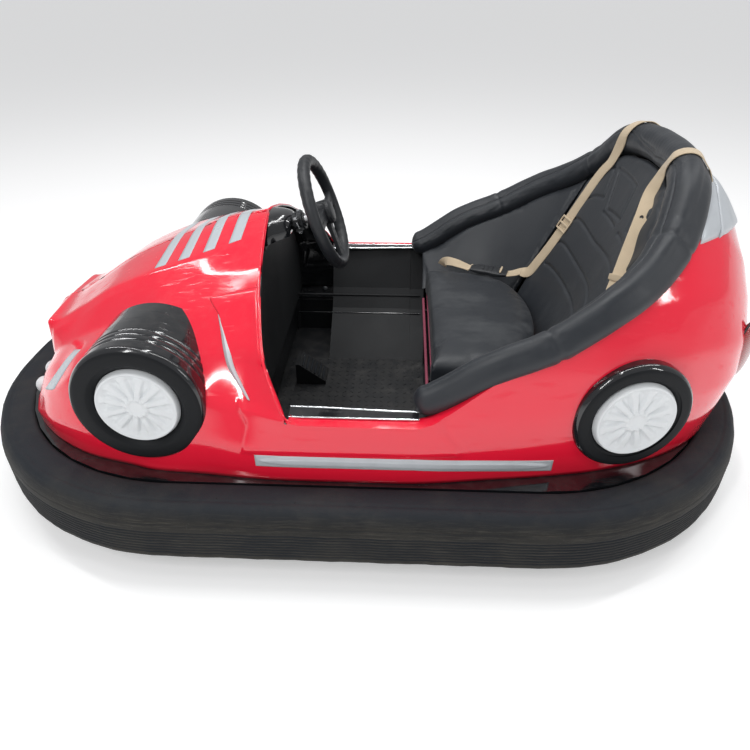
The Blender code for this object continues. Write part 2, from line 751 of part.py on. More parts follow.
def bonnet_edge_cut():
    """Everything behind the bonnet's sloping rear edge and over the sills, cut from side to side."""
    edge = [(reach_place(place), level(height)) for place, height in COCKPIT_EDGE_SHARES[:BONNET_EDGE_COUNT]]
    foot = edge_level(0.0) + LID_STEP
    behind = LID_FRONT - OVERRUN
    over = level(1) + OVERRUN
    outline = edge + [(LID_FRONT, foot), (behind, foot), (behind, over), (edge[0][0], over)]
    return prism("body_bonnet_edge_cut", outline, -HALF_WIDTH, HALF_WIDTH, None, "Y")


def dummy_frames():
    """Each dummy wheel's name, side, centre on its face, outward axis, radius and depth."""
    frames = []
    for side, word in ((1, "left"), (-1, "right")):
        place = Vector((FRONT_DUMMY_SHARE * NOSE_REACH, side * (BODY_HALF_WIDTH - FRONT_DUMMY_INSET),
                        FOOT + FRONT_DUMMY_RISE))
        axis = Vector((0.0, side, 0.0))
        frames.append(("front_" + word, place, axis, FRONT_DUMMY_RADIUS, FRONT_DUMMY_DEPTH))
        turn = math.radians(REAR_DUMMY_TURN_DEG)
        place = Vector((-REAR_DUMMY_SHARE * TAIL_REACH, side * (BODY_HALF_WIDTH - REAR_DUMMY_INSET),
                        FOOT + REAR_DUMMY_RISE))
        axis = Vector((-math.sin(turn), side * math.cos(turn), 0.0))
        frames.append(("rear_" + word, place, axis, REAR_DUMMY_RADIUS, REAR_DUMMY_DEPTH))
    return frames


def make_body():
    shell = body_skin("body_shell", material=red_gelcoat())
    hollow = body_skin("body_hollow_cut", -BODY_WALL, open_foot=True)
    cut(shell, hollow)
    for word, place, axis, radius, depth in dummy_frames():
        back = depth + GAP
        start = place - axis * back
        pocket = rod("body_pocket_cut_" + word, start, axis, back + OVERRUN, radius + GAP, None, ROUND_STEPS)
        cut(shell, pocket)
    cut(shell, bonnet_edge_cut(), cockpit_cut())


def make_dummy_wheels():
    """Tread drums with a round shoulder, a flat side wall and a spoked white disc."""
    for word, place, axis, radius, depth in dummy_frames():
        shoulder = radius - DISC_RADIUS
        profile = [(0.0, -depth), (radius, -depth)]
        for step in range(4):
            angle = math.pi / 2 * step / 3
            bend = shoulder / 3
            profile.append((radius - bend + bend * math.cos(angle), -bend + bend * math.sin(angle)))
        profile.append((0.0, 0.0))
        turned("dummy_tyre_" + word, profile, place, axis, gloss_black())
        make_disc("wheel_disc_" + word, place + axis * GAP, axis)


def make_disc(name, place, axis):
    """A white disc with raised spokes between a rim and a hub."""
    profile = [(0.0, 0.0), (DISC_RADIUS, 0.0), (DISC_RADIUS, DISC_THICKNESS * DISC_SHOULDER_SHARE),
               (DISC_RADIUS * DISC_EDGE_SHARE, DISC_THICKNESS), (0.0, DISC_THICKNESS)]
    disc = turned(name, profile, place, axis, white_plastic())
    up = Vector((0.0, 0.0, 1.0))
    side = up.cross(axis)
    vertices = []
    faces = []
    inner, outer = (DISC_RADIUS * share for share in LOBE_REACH_SHARES)
    near, far = (math.pi / DISC_LOBES * share for share in LOBE_WIDTH_SHARES)
    for lobe in range(DISC_LOBES):
        middle = math.pi * (2 * lobe + 1) / DISC_LOBES
        corners = ((inner, -near), (outer, -far), (outer, far), (inner, near))
        ring = []
        for radius, turn in corners:
            spoke = side * math.cos(middle + turn) + up * math.sin(middle + turn)
            ring.append(spoke * radius)
        start = len(vertices)
        for height in (DISC_THICKNESS * DISC_FLOOR_SHARE, DISC_THICKNESS + OVERRUN):
            vertices += [place + axis * height + point for point in ring]
        faces += [(start, start + 1, start + 2, start + 3), (start + 7, start + 6, start + 5, start + 4)]
        for step in range(4):
            after = (step + 1) % 4
            faces.append((start + step, start + 4 + step, start + 4 + after, start + after))
    cut(disc, new_object(name + "_cut", vertices, faces, None))


# Cockpit lining, dash and trim

def make_liners():
    """Moulded side linings from the sill down to the well's floor, and a trim strip on each sill."""
    lid = edge_level(0.0)
    hidden = lid - BODY_WALL - 2 * GAP
    foot = PAN_TOP + GAP
    step = -RIM_FRONT + GAP
    stations = ((-LINER_BACK, hidden), (step, hidden), (step + 2 * GAP, lid), (LID_FRONT, lid))
    back = reach_place(COCKPIT_EDGE_SHARES[BONNET_EDGE_COUNT + 1][0])
    front = reach_place(COCKPIT_EDGE_SHARES[BONNET_EDGE_COUNT][0])
    for side, word in ((1, "left"), (-1, "right")):
        rings = []
        for place, top in stations:
            room = sill_edge(0.0) - LINER_WALL - 2 * GAP
            inner = [(WELL_HALF_WIDTH + across * (room - WELL_HALF_WIDTH), foot + upwards * (top - foot))
                     for across, upwards in LINER_SECTION_SHARES]
            outer = [(width + LINER_WALL, height) for width, height in reversed(inner)]
            rings.append([(place, side * width, height) for width, height in inner + outer])
        skin("cockpit_liner_" + word, rings, gloss_black())
        near = side * (sill_edge(0.0) - TRIM_WIDTH / 3)
        far = side * (sill_edge(0.0) + TRIM_WIDTH * 2 / 3)
        outline = [(back, near), (front, near), (front, far), (back, far)]
        prism("sill_trim_" + word, outline, lid + GAP, lid + GAP + TRIM_HEIGHT, satin_black())


def make_dash():
    """A bulkhead that closes the bonnet's rear, with a hole for the column."""
    rings = []
    for place in (DASH_PLACE, DASH_PLACE + DASH_THICKNESS):
        half = moved_out(full_section(place), -BODY_WALL - 2 * GAP)
        half[0] = (half[0][0], DECK_TOP + GAP)
        left = [(place, width, height) for width, height in half]
        rings.append(mirrored(left[:-1]) + list(reversed(left)))
    dash = skin("dash_panel", rings, gloss_black())
    start = Vector(WHEEL_CENTRE) + COLUMN_AXIS * COLUMN_SETBACK
    radius = SHAFT_RADIUS + COLUMN_WALL + 3 * GAP
    bore = rod("dash_column_cut", start, COLUMN_AXIS, SHAFT_LENGTH, radius, None)
    cut(dash, bore)


# Seat

def make_seat():
    make_seat_base()
    base = SEAT_BASE_TOP + GAP
    outline = []
    for step in range(1, RIM_STEPS):
        flat = plan_curve(TUB_FRONT, SEAT_BACK_FOOT, SEAT_HALF_WIDTH, math.pi * step / RIM_STEPS)[0]
        outline.append((min(flat.x, -SEAT_FRONT), flat.y))
    painted = finish_of("board_red", (0.40, 0.07, 0.12), 0.6)
    prism("cushion_board", outline, base, base + BOARD_THICKNESS, painted)
    low = base + BOARD_THICKNESS + GAP
    cushion = prism("seat_cushion", outline, low, low + CUSHION_THICKNESS, black_vinyl())
    rounding = cushion.modifiers.new("crown", "BEVEL")
    rounding.width = CUSHION_THICKNESS / 5
    rounding.segments = 2
    make_tub()
    make_bolster()
    make_straps()


def make_seat_base():
    half = SEAT_BASE_HALF_WIDTH
    wall = SEAT_BASE_WALL
    outline = [
        (-SEAT_FRONT, half), (-SEAT_BACK_FOOT, half), (-SEAT_BACK_FOOT, -half), (-SEAT_FRONT, -half),
        (-SEAT_FRONT, wall - half), (wall - SEAT_BACK_FOOT, wall - half),
        (wall - SEAT_BACK_FOOT, half - wall), (-SEAT_FRONT, half - wall),
    ]
    prism("seat_base", outline, PAN_TOP + GAP, SEAT_BASE_TOP, satin_black())
    front = -SEAT_FRONT - BATTERY_ROOM[0]
    low = (wall - SEAT_BACK_FOOT + BATTERY_ROOM[1], -BATTERY_HALF_WIDTH, PAN_TOP + GAP)
    high = (front, BATTERY_HALF_WIDTH, PAN_TOP + GAP + BATTERY_HEIGHT)
    block("battery_block", low, high, finish_of("battery_grey", (0.10, 0.11, 0.12), 0.5))


def make_tub():
    """The seat's back and side pads, one curved wall split at two upright seams."""
    low, high = (math.radians(turn) for turn in BACK_PANEL_TURNS_DEG)
    seam = TUB_SEAM / SEAT_BACK_FOOT
    spans = (("seat_side_left", math.radians(2), low - seam), ("seat_back", low + seam, high - seam),
             ("seat_side_right", high + seam, math.pi - math.radians(2)))
    for name, start, end in spans:
        count = RIM_STEPS // 3
        rings = []
        for step in range(count + 1):
            turn = start + (end - start) * step / count
            inner = [tub_point(turn, rise / 2) for rise in range(3)]
            outer = [tub_point(turn, rise / 2, -TUB_WALL) for rise in reversed(range(3))]
            rings.append(inner + outer)
        skin(name, rings, black_vinyl())


def make_bolster():
    path = [rim_point(math.pi * step / RIM_STEPS)[0] for step in range(RIM_STEPS + 1)]
    sweep("seat_bolster", path, circle_section(BOLSTER_RADIUS, TUBE_STEPS), black_vinyl())


def strap_stations(turn_top, turn_low, low_rise):
    """Left and right edges and the outward direction of a strap, from behind the rim down the tub."""
    def pair(place_of, turn):
        small = math.radians(1)
        speed = (place_of(turn + small) - place_of(turn - small)).length / (2 * small)
        half = STRAP_WIDTH / 2 / speed
        return place_of(turn - half), place_of(turn + half)
    stations = []
    start, end = STRAP_WRAP_DEG
    for step in range(STRAP_STEPS + 1):
        angle = math.radians(start + (end - start) * step / STRAP_STEPS)

        def over(turn):
            centre, inward, raised = rim_point(turn)
            around = inward * math.cos(angle) + raised * math.sin(angle)
            return centre + around * (BOLSTER_RADIUS + STRAP_LIFT)
        inward, raised = rim_point(turn_top)[1:]
        stations.append((*pair(over, turn_top), inward * math.cos(angle) + raised * math.sin(angle)))
    for step in range(1, STRAP_STEPS):
        share = step / (STRAP_STEPS - 1)
        rise = STRAP_TOP_SHARE + (low_rise - STRAP_TOP_SHARE) * share
        turn = turn_top + (turn_low - turn_top) * share
        out = rim_point(turn)[1] * 2 + Vector((0.0, 0.0, 1.0))
        stations.append((*pair(lambda angle: tub_point(angle, rise, STRAP_LIFT), turn), out.normalized()))
    return stations


def make_straps():
    """Two harness straps over the top of the seat, the far one let down to its buckle."""
    seat_top = SEAT_BASE_TOP + BOARD_THICKNESS + CUSHION_THICKNESS + 3 * GAP
    for word, turns, low_rise in zip(("left", "right"), STRAP_TURNS_DEG, STRAP_LOW_SHARES):
        top, low = (math.radians(turn) for turn in turns)
        strap("harness_strap_" + word, strap_stations(top, low, low_rise))
    length, width, height = BUCKLE_SIZE
    place = Vector((-BUCKLE_SHARE * TAIL_REACH, -BUCKLE_SIDE, seat_top))
    block("harness_buckle", (place.x, place.y - width / 2, place.z),
          (place.x + length, place.y + width / 2, place.z + height), satin_black())


def strap(name, stations):
    """A flat band between the stations' edges, standing out by its thickness."""
    rings = []
    for left, right, out in stations:
        face = out * STRAP_THICKNESS
        rings.append([left, right, right + face, left + face])
    skin(name, rings, strap_webbing())


# Steering wheel, shaft and column

def make_steering():
    centre = Vector(WHEEL_CENTRE)
    ring_radius = WHEEL_RADIUS - WHEEL_RIM_RADIUS
    side = Vector((0.0, 1.0, 0.0))
    up = COLUMN_AXIS.cross(side).normalized()
    path = []
    for step in range(ROUND_STEPS):
        angle = 2 * math.pi * step / ROUND_STEPS
        path.append(centre + side * (ring_radius * math.cos(angle)) + up * (ring_radius * math.sin(angle)))
    grip = circle_section(WHEEL_RIM_RADIUS, TUBE_STEPS)
    wheel = sweep("steering_wheel", path, grip, satin_black(), COLUMN_AXIS, wrap=True)
    start = centre - COLUMN_AXIS * HUB_LENGTH / 2
    hub = rod("wheel_hub_join", start, COLUMN_AXIS, HUB_LENGTH, HUB_RADIUS, None)
    parts = [hub]
    for index, angle in enumerate((0.0, 180.0, 270.0)):
        turn = math.radians(angle)
        out = side * math.cos(turn) + up * math.sin(turn)
        across = out.cross(COLUMN_AXIS)
        corners = []
        for reach in (0.0, ring_radius):
            for wide, deep in ((-1, -1), (1, -1), (1, 1), (-1, 1)):
                corners.append(centre + out * reach + across * (wide * SPOKE_WIDTH / 2)
                               + COLUMN_AXIS * (deep * SPOKE_THICKNESS / 2))
        parts.append(skin(f"wheel_spoke_join_{index}", [corners[:4], corners[4:]], None))
    cut(wheel, *parts, operation="UNION")
    move_origin(wheel, centre)
    shaft = rod("steering_shaft", centre + COLUMN_AXIS * (HUB_LENGTH / 2 + GAP), COLUMN_AXIS, SHAFT_LENGTH,
                SHAFT_RADIUS, bare_steel())
    move_origin(shaft, centre)
    start = centre + COLUMN_AXIS * COLUMN_SETBACK
    bore = SHAFT_RADIUS + RUNNING_GAP
    outer = SHAFT_RADIUS + COLUMN_WALL
    flange = (DASH_PLACE - GAP - COLUMN_FLANGE_THICKNESS - start.x) / COLUMN_AXIS.x
    length = COLUMN_LENGTH + flange
    tube = [(bore, 0.0), (outer, 0.0), (outer, length), (bore, length), (bore, 0.0)]
    column = turned("steering_column", tube, start, COLUMN_AXIS, satin_black(), 20)
    back = start + COLUMN_AXIS * flange
    plate_low = (back.x, back.z)
    half = COLUMN_FLANGE_RADIUS
    plate = block("column_plate_join", (plate_low[0], -half, plate_low[1] - half),
                  (plate_low[0] + COLUMN_FLANGE_THICKNESS, half, plate_low[1] + half), None)
    bore_cut = rod("column_bore_cut", start - COLUMN_AXIS * OVERRUN, COLUMN_AXIS, SHAFT_LENGTH, bore, None)
    cut(column, plate, operation="UNION")
    cut(column, bore_cut)


# Drive unit

def make_drive():
    up = Vector((0.0, 0.0, 1.0))
    across = Vector((0.0, 1.0, 0.0))
    middle = Vector((DRIVE_PLACE, 0.0, 0.0))
    base = DECK_TOP + GAP
    top = base + DRIVE_MOUNT_HEIGHT
    ring = [(DRIVE_MOUNT_BORE, base), (DRIVE_MOUNT_RADIUS, base), (DRIVE_MOUNT_RADIUS, (base + top) / 2),
            (TURNTABLE_RADIUS, top), (DRIVE_MOUNT_BORE, top), (DRIVE_MOUNT_BORE, base)]
    turned("drive_mount", ring, middle, up, satin_black())
    table = top + 2 * GAP
    shaft_drop = (HUB_LENGTH / 2 + SHAFT_LENGTH) * COLUMN_AXIS.z
    mast_top = WHEEL_CENTRE[2] + shaft_drop - SHAFT_RADIUS - MAST_ROOM
    profile = [(0.0, table), (TURNTABLE_RADIUS, table), (TURNTABLE_RADIUS, table + TURNTABLE_THICKNESS),
               (MAST_RADIUS, table + TURNTABLE_THICKNESS), (MAST_RADIUS, mast_top), (0.0, mast_top)]
    fork = turned("drive_fork", profile, middle, up, satin_black())
    inner = DRIVE_WHEEL_WIDTH / 2 + FORK_GAP
    joins = []
    for side, word in ((1, "left"), (-1, "right")):
        outline = [
            (DRIVE_PLACE - FORK_HALF_LENGTH, table + TURNTABLE_THICKNESS / 2),
            (DRIVE_PLACE - FORK_HALF_LENGTH, DRIVE_WHEEL_RADIUS + FORK_HALF_LENGTH / 2),
            (DRIVE_PLACE - FORK_HALF_LENGTH / 2, DRIVE_WHEEL_RADIUS - FORK_HALF_LENGTH / 2),
            (DRIVE_PLACE + FORK_HALF_LENGTH / 2, DRIVE_WHEEL_RADIUS - FORK_HALF_LENGTH / 2),
            (DRIVE_PLACE + FORK_HALF_LENGTH, DRIVE_WHEEL_RADIUS + FORK_HALF_LENGTH / 2),
            (DRIVE_PLACE + FORK_HALF_LENGTH, table + TURNTABLE_THICKNESS / 2),
        ]
        low, high = sorted((side * inner, side * (inner + FORK_WALL)))
        joins.append(prism("fork_cheek_join_" + word, outline, low, high, None, "Y"))
    axle_start = Vector((DRIVE_PLACE, -(inner + FORK_WALL / 2), DRIVE_WHEEL_RADIUS))
    joins.append(rod("fork_axle_join", axle_start, across, 2 * inner + FORK_WALL, DRIVE_AXLE_RADIUS, None))
    cut(fork, *joins, operation="UNION")
    move_origin(fork, middle)
    outer = inner + FORK_WALL + GAP
    start = Vector((DRIVE_PLACE, outer, DRIVE_WHEEL_RADIUS))
    motor = rod("drive_motor", start, across, MOTOR_LENGTH, MOTOR_RADIUS, satin_black(), MOTOR_STEPS)
    move_origin(motor, middle)
    wheel = road_wheel("drive_wheel", Vector((DRIVE_PLACE, 0.0, DRIVE_WHEEL_RADIUS)), DRIVE_WHEEL_RADIUS,
                       DRIVE_WHEEL_WIDTH, DRIVE_AXLE_RADIUS)
    wheel.parent = fork
    wheel.matrix_parent_inverse = fork.matrix_world.inverted()


def road_wheel(name, place, radius, width, axle):
    """A solid rubber running wheel with a dished side and a bore for its axle."""
    across = Vector((0.0, 1.0, 0.0))
    half = width / 2
    bore = axle + RUNNING_GAP
    edge = width * WHEEL_BEVEL_SHARE
    dish = half * WHEEL_DISH_DEPTH_SHARE
    hub, low, high, tread = (radius * share for share in WHEEL_DISH_SHARES)
    side = [(bore, half), (hub, half), (low, dish), (high, dish), (tread, half), (radius - edge, half),
            (radius, half - edge)]
    profile = [(reach, -along) for reach, along in side] + list(reversed(side)) + [(bore, -half)]
    wheel = turned(name, profile, place, across, tyre_rubber())
    return move_origin(wheel, place)


def make_rear_wheels():
    """Two fixed forks under the tail, each with a running wheel on its axle."""
    across = Vector((0.0, 1.0, 0.0))
    top = DECK_UNDER - GAP
    inner = REAR_WHEEL_WIDTH / 2 + FORK_GAP
    for side, word in ((1, "left"), (-1, "right")):
        middle = side * REAR_WHEEL_TRACK_HALF
        low = (-REAR_WHEEL_PLACE - BRACKET_HALF_LENGTH, middle - inner - BRACKET_WALL, top - BRACKET_PLATE)
        high = (-REAR_WHEEL_PLACE + BRACKET_HALF_LENGTH, middle + inner + BRACKET_WALL, top)
        bracket = block("rear_bracket_" + word, low, high, satin_black())
        joins = []
        for cheek, edge in ((0, middle - inner - BRACKET_WALL), (1, middle + inner)):
            outline = [
                (-REAR_WHEEL_PLACE - BRACKET_HALF_LENGTH, top - BRACKET_PLATE / 2),
                (-REAR_WHEEL_PLACE - BRACKET_HALF_LENGTH / 2, REAR_WHEEL_RADIUS - BRACKET_HALF_LENGTH / 2),
                (-REAR_WHEEL_PLACE + BRACKET_HALF_LENGTH / 2, REAR_WHEEL_RADIUS - BRACKET_HALF_LENGTH / 2),
                (-REAR_WHEEL_PLACE + BRACKET_HALF_LENGTH, top - BRACKET_PLATE / 2),
            ]
            name = f"bracket_cheek_join_{word}_{cheek}"
            joins.append(prism(name, outline, edge, edge + BRACKET_WALL, None, "Y"))
        start = Vector((-REAR_WHEEL_PLACE, middle - inner - BRACKET_WALL / 2, REAR_WHEEL_RADIUS))
        length = 2 * inner + BRACKET_WALL
        joins.append(rod("bracket_axle_join_" + word, start, across, length, REAR_AXLE_RADIUS, None))
        cut(bracket, *joins, operation="UNION")
        place = Vector((-REAR_WHEEL_PLACE, middle, REAR_WHEEL_RADIUS))
        road_wheel("rear_wheel_" + word, place, REAR_WHEEL_RADIUS, REAR_WHEEL_WIDTH, REAR_AXLE_RADIUS)


# Fairing, lamps and pedal

def height_at(place, width):
    """Height of the moulded surface at a distance from the middle, on the facets between its stations."""
    places = body_places()
    index = max(sum(station <= place for station in places) - 1, 0)
    share = (place - places[index]) / (places[index + 1] - places[index])
    section = []
    for here, there in zip(full_section(places[index]), full_section(places[index + 1])):
        section.append([low + share * (high - low) for low, high in zip(here, there)])
    for outer, inner in zip(section[3:], section[4:]):
        if inner[0] <= abs(width) <= outer[0]:
            reach = (abs(width) - inner[0]) / (outer[0] - inner[0])
            return inner[1] + reach * (outer[1] - inner[1])
    return section[3][1]


def make_fairing():
    """The silver cap over the top of the tail, moulded to the body."""
    rings = []
    front = reach_place(EDGE_END_SHARE)
    stations = [place for place in body_places() if front - FAIRING_LENGTH < place < front]
    for place in [front - FAIRING_LENGTH] + stations + [front]:
        share = (front - place) / FAIRING_LENGTH
        half = FAIRING_HALF_WIDTH * (1 - FAIRING_TAPER_SHARE * share * share)
        widths = [half * (2 * step / FAIRING_STEPS - 1) for step in range(FAIRING_STEPS + 1)]
        seat = [(place, width, height_at(place, width) + FAIRING_LIFT) for width in widths]
        face = [(x, y, z + FAIRING_THICKNESS) for x, y, z in seat]
        rings.append(face + list(reversed(seat)))
    skin("tail_fairing", rings, silver_trim())


def fitted_cutter(name):
    """The body's outer surface with every face moved out by the gap, to seat a lamp on."""
    cutter = body_skin(name)
    editor = bmesh.new()
    editor.from_mesh(cutter.data)
    editor.normal_update()
    moves = [vertex.normal * (vertex.calc_shell_factor() * GAP) for vertex in editor.verts]
    for vertex, move in zip(editor.verts, moves):
        vertex.co += move
    editor.to_mesh(cutter.data)
    editor.free()
    return cutter


def lens(name, place, size, material, turn=None):
    """An oval dome, cut to the body behind it."""
    editor = bmesh.new()
    bmesh.ops.create_icosphere(editor, subdivisions=LENS_STEPS, radius=1.0)
    mesh = bpy.data.meshes.new(name)
    editor.to_mesh(mesh)
    editor.free()
    spin = turn or Matrix.Identity(4)
    mesh.transform(Matrix.Translation(place) @ spin @ Matrix.Diagonal((*size, 1.0)))
    mesh.shade_smooth()
    mesh.materials.append(material)
    item = bpy.data.objects.new(name, mesh)
    bpy.context.scene.collection.objects.link(item)
    cut(item, fitted_cutter(name + "_seat_cut"))
    return item


def make_lamps():
    lens_red = finish_of("lamp_lens_red", (0.42, 0.04, 0.04), 0.15)
    white = white_plastic()
    for side, word in ((1, "left"), (-1, "right")):
        along, across, upwards = TAIL_LAMP_SHARES
        place = (-along * TAIL_REACH, side * across * BODY_HALF_WIDTH, level(upwards))
        turn = Matrix.Rotation(math.radians(-side * TAIL_LAMP_TURN_DEG), 4, "Z")
        lens("tail_lamp_" + word, place, TAIL_LAMP_SIZE, lens_red, turn)
        for index, (along, across, upwards) in enumerate(NOSE_LAMP_SHARES):
            place = (along * NOSE_REACH, side * across * BODY_HALF_WIDTH, level(upwards))
            lens(f"nose_lamp_{word}_{index + 1}", place, (NOSE_LAMP_RADIUS,) * 3, white)


def make_pedal():
    """A flat tread plate hinged to the floor, on its back stop."""
    run = PEDAL_SIZE[0] * math.cos(math.radians(PEDAL_TILT_DEG))
    rise = PEDAL_SIZE[0] * math.sin(math.radians(PEDAL_TILT_DEG))
    start = PEDAL_SHARE * NOSE_REACH - run / 2
    base = TREAD_TOP + GAP
    top = base + rise
    outline = [(start, base), (start + run, base), (start + run, top), (start + run - PEDAL_THICKNESS, top),
               (start, base + PEDAL_THICKNESS)]
    low = -PEDAL_SIDE - PEDAL_SIZE[1] / 2
    prism("accelerator_pedal", outline, low, low + PEDAL_SIZE[1], satin_black(), "Y")


clear_scene()
make_tyre()
make_rim()
make_deck()
make_pan()
make_body()
make_dummy_wheels()
make_liners()
make_dash()
make_seat()
make_steering()
make_drive()
make_rear_wheels()
make_fairing()
make_lamps()
make_pedal()
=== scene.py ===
# %% [markdown]
# A fairground bumper car: a glossy moulded body on a ring tyre, with dummy road wheels at its sides.
# The measured solids come in first as a fixed frame, and each finished piece is made round them.
# All lengths are metres: +X is the nose, +Y the driver's left and +Z up.

# %% The fixed frame
import json
import math

import bmesh
import bpy
import numpy as np
from mathutils import Matrix, Vector

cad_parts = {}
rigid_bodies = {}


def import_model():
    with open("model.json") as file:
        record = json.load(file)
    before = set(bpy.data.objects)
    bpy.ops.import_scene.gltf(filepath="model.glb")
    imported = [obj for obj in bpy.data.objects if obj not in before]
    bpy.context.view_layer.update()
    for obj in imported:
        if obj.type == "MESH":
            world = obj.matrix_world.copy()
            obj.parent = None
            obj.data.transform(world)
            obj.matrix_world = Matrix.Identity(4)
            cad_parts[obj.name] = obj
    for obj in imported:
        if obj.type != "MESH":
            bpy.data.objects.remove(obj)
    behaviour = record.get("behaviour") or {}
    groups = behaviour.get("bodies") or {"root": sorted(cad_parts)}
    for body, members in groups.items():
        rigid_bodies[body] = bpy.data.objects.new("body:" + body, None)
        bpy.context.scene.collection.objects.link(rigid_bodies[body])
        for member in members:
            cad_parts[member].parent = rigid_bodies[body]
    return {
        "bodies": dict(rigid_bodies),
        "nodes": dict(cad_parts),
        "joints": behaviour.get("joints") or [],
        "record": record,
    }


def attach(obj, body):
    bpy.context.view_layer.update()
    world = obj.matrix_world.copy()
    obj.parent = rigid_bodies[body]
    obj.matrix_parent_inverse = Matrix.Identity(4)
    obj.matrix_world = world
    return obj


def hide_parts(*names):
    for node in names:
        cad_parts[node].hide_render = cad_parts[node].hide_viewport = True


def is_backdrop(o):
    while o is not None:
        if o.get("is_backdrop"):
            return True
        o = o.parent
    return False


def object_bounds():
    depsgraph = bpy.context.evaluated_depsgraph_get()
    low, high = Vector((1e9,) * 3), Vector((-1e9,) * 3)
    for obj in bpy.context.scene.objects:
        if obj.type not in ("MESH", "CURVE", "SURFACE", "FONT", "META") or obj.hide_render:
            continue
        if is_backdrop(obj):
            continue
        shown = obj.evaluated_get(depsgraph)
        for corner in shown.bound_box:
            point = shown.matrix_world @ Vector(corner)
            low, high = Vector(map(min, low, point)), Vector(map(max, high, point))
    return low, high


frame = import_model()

cad_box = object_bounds()
nodes = frame["nodes"]
print("nodes", len(nodes), "box", [round(value, 3) for corner in cad_box for value in corner])

# %% [markdown]
# The camera stands where the photographer stood: high at the driver's left, looking down at the car.
# Its place was solved from points of known size, so the model meets the photograph without any fitting.
# The three turns are given one after the other: downwards, to the side, and about the line of sight.

# %% Camera
CAMERA_PLACE = (-0.1004, 1.4730, 1.1584)
CAMERA_DOWN = 0.59059
CAMERA_TURN = 0.04881
CAMERA_ROLL = -0.00560
FOCAL_SHARE = 0.82652
SENSOR = 36.0


def shown(name, data):
    """An object that holds the data, linked to the scene."""
    item = bpy.data.objects.new(name, data)
    bpy.context.scene.collection.objects.link(item)
    return item


camera_data = bpy.data.cameras.new("camera")
camera_data.sensor_width = SENSOR
camera_data.lens = FOCAL_SHARE * SENSOR
camera_data.clip_start = 0.05
camera = shown("camera", camera_data)
facing = Matrix.Rotation(CAMERA_TURN, 4, "Z") @ Matrix.Rotation(math.pi, 4, "Z")
looking = facing @ Matrix.Rotation(math.pi / 2 - CAMERA_DOWN, 4, "X") @ Matrix.Rotation(CAMERA_ROLL, 4, "Z")
camera.matrix_world = Matrix.Translation(CAMERA_PLACE) @ looking
bpy.context.scene.camera = camera
print("lens", round(camera_data.lens, 2), "mm")

# %% [markdown]
# A glossy car shows its lights as much as its paint, so the lamps are shaped with care.
# Long narrow ones overhead draw the bright streaks along the bonnet and sill, and broad ones fill the sides.
# The floor is plain and pale, and is marked as stage because it is no part of the car.

# %% Floor and light
FLOOR_SIZE = 60.0
FLOOR_ROUGHNESS, FLOOR_GLOW, WORLD_GLOW = 0.9, 0.36, 0.42
FLOOR_COLOUR = (0.80, 0.80, 0.80, 1.0)
WORLD_COLOUR = (0.93, 0.94, 0.96, 1.0)
STRIP_PLACES, STRIP_SIZE, STRIP_WATTS = (-1.9, 0.0, 1.9), (0.12, 3.8), 34

floor_mesh = bpy.data.meshes.new("studio_floor")
half_floor = FLOOR_SIZE / 2
floor_mesh.from_pydata([(-half_floor, -half_floor, 0), (half_floor, -half_floor, 0),
                        (half_floor, half_floor, 0), (-half_floor, half_floor, 0)], [], [(0, 1, 2, 3)])
floor_object = shown("studio_floor", floor_mesh)
floor_finish = bpy.data.materials.new("studio_floor")
floor_finish.use_nodes = True
floor_shader = floor_finish.node_tree.nodes["Principled BSDF"]
floor_shader.inputs["Base Color"].default_value = FLOOR_COLOUR
floor_shader.inputs["Roughness"].default_value = FLOOR_ROUGHNESS
floor_shader.inputs["Emission Color"].default_value = (1.0, 1.0, 1.0, 1.0)
floor_shader.inputs["Emission Strength"].default_value = FLOOR_GLOW
floor_mesh.materials.append(floor_finish)
floor_object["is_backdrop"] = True

world = bpy.data.worlds.new("studio")
world.use_nodes = True
world.node_tree.nodes["Background"].inputs["Color"].default_value = WORLD_COLOUR
world.node_tree.nodes["Background"].inputs["Strength"].default_value = WORLD_GLOW
bpy.context.scene.world = world


def lamp(name, place, aim, size, watts):
    """A rectangular soft light that looks from its place to its aim; size is (across, along)."""
    data = bpy.data.lights.new(name, "AREA")
    data.shape = "RECTANGLE"
    data.size, data.size_y = size
    data.energy = watts
    light = shown(name, data)
    light.location = place
    light.rotation_mode = "QUATERNION"
    light.rotation_quaternion = (Vector(aim) - Vector(place)).to_track_quat("-Z", "Y")


for row, across in enumerate(STRIP_PLACES):
    lamp(f"strip_{row}", (across * 0.9, -0.5, 3.6), (across * 0.3, 0.0, 0.3), STRIP_SIZE, STRIP_WATTS)
lamp("key", (1.4, 2.6, 3.0), (0.1, 0.0, 0.4), (0.22, 1.8), 40)
lamp("fill", (-2.8, 1.6, 1.8), (-0.3, 0.0, 0.4), (0.16, 1.3), 12)
print("lights", len(bpy.data.lights))
bpy.context.scene.view_settings.view_transform = "Standard"
bpy.context.scene.view_settings.look = "None"

# %% [markdown]
# Every new surface is a grid: two numbers give each point, and whole arrays are worked out at once.
# A grid's faces need no search either, because neighbours follow from the row and the column.
# Each mesh is then turned so that its faces look away from a point that lies inside it.

# %% Grids and meshes
MERGE = 1e-6
TURN = 2 * math.pi


def grid_faces(rows, columns):
    """Quads of a grid: each joins a point to the next column and the next row."""
    first = np.arange(rows - 1)[:, None] * columns + np.arange(columns - 1)[None, :]
    return np.stack([first, first + 1, first + columns + 1, first + columns], axis=-1).reshape(-1, 4)


def turned_outwards(points, faces, inside=None):
    """Faces reversed if, on the whole, they look towards the inside point."""
    corners = points[faces]
    normals = np.cross(corners[:, 2] - corners[:, 0], corners[:, 3] - corners[:, 1])
    centre = points.mean(axis=0) if inside is None else np.asarray(inside, dtype=float)
    outward = np.sum((corners.mean(axis=1) - centre) * normals)
    return faces if outward > 0 else faces[:, ::-1]


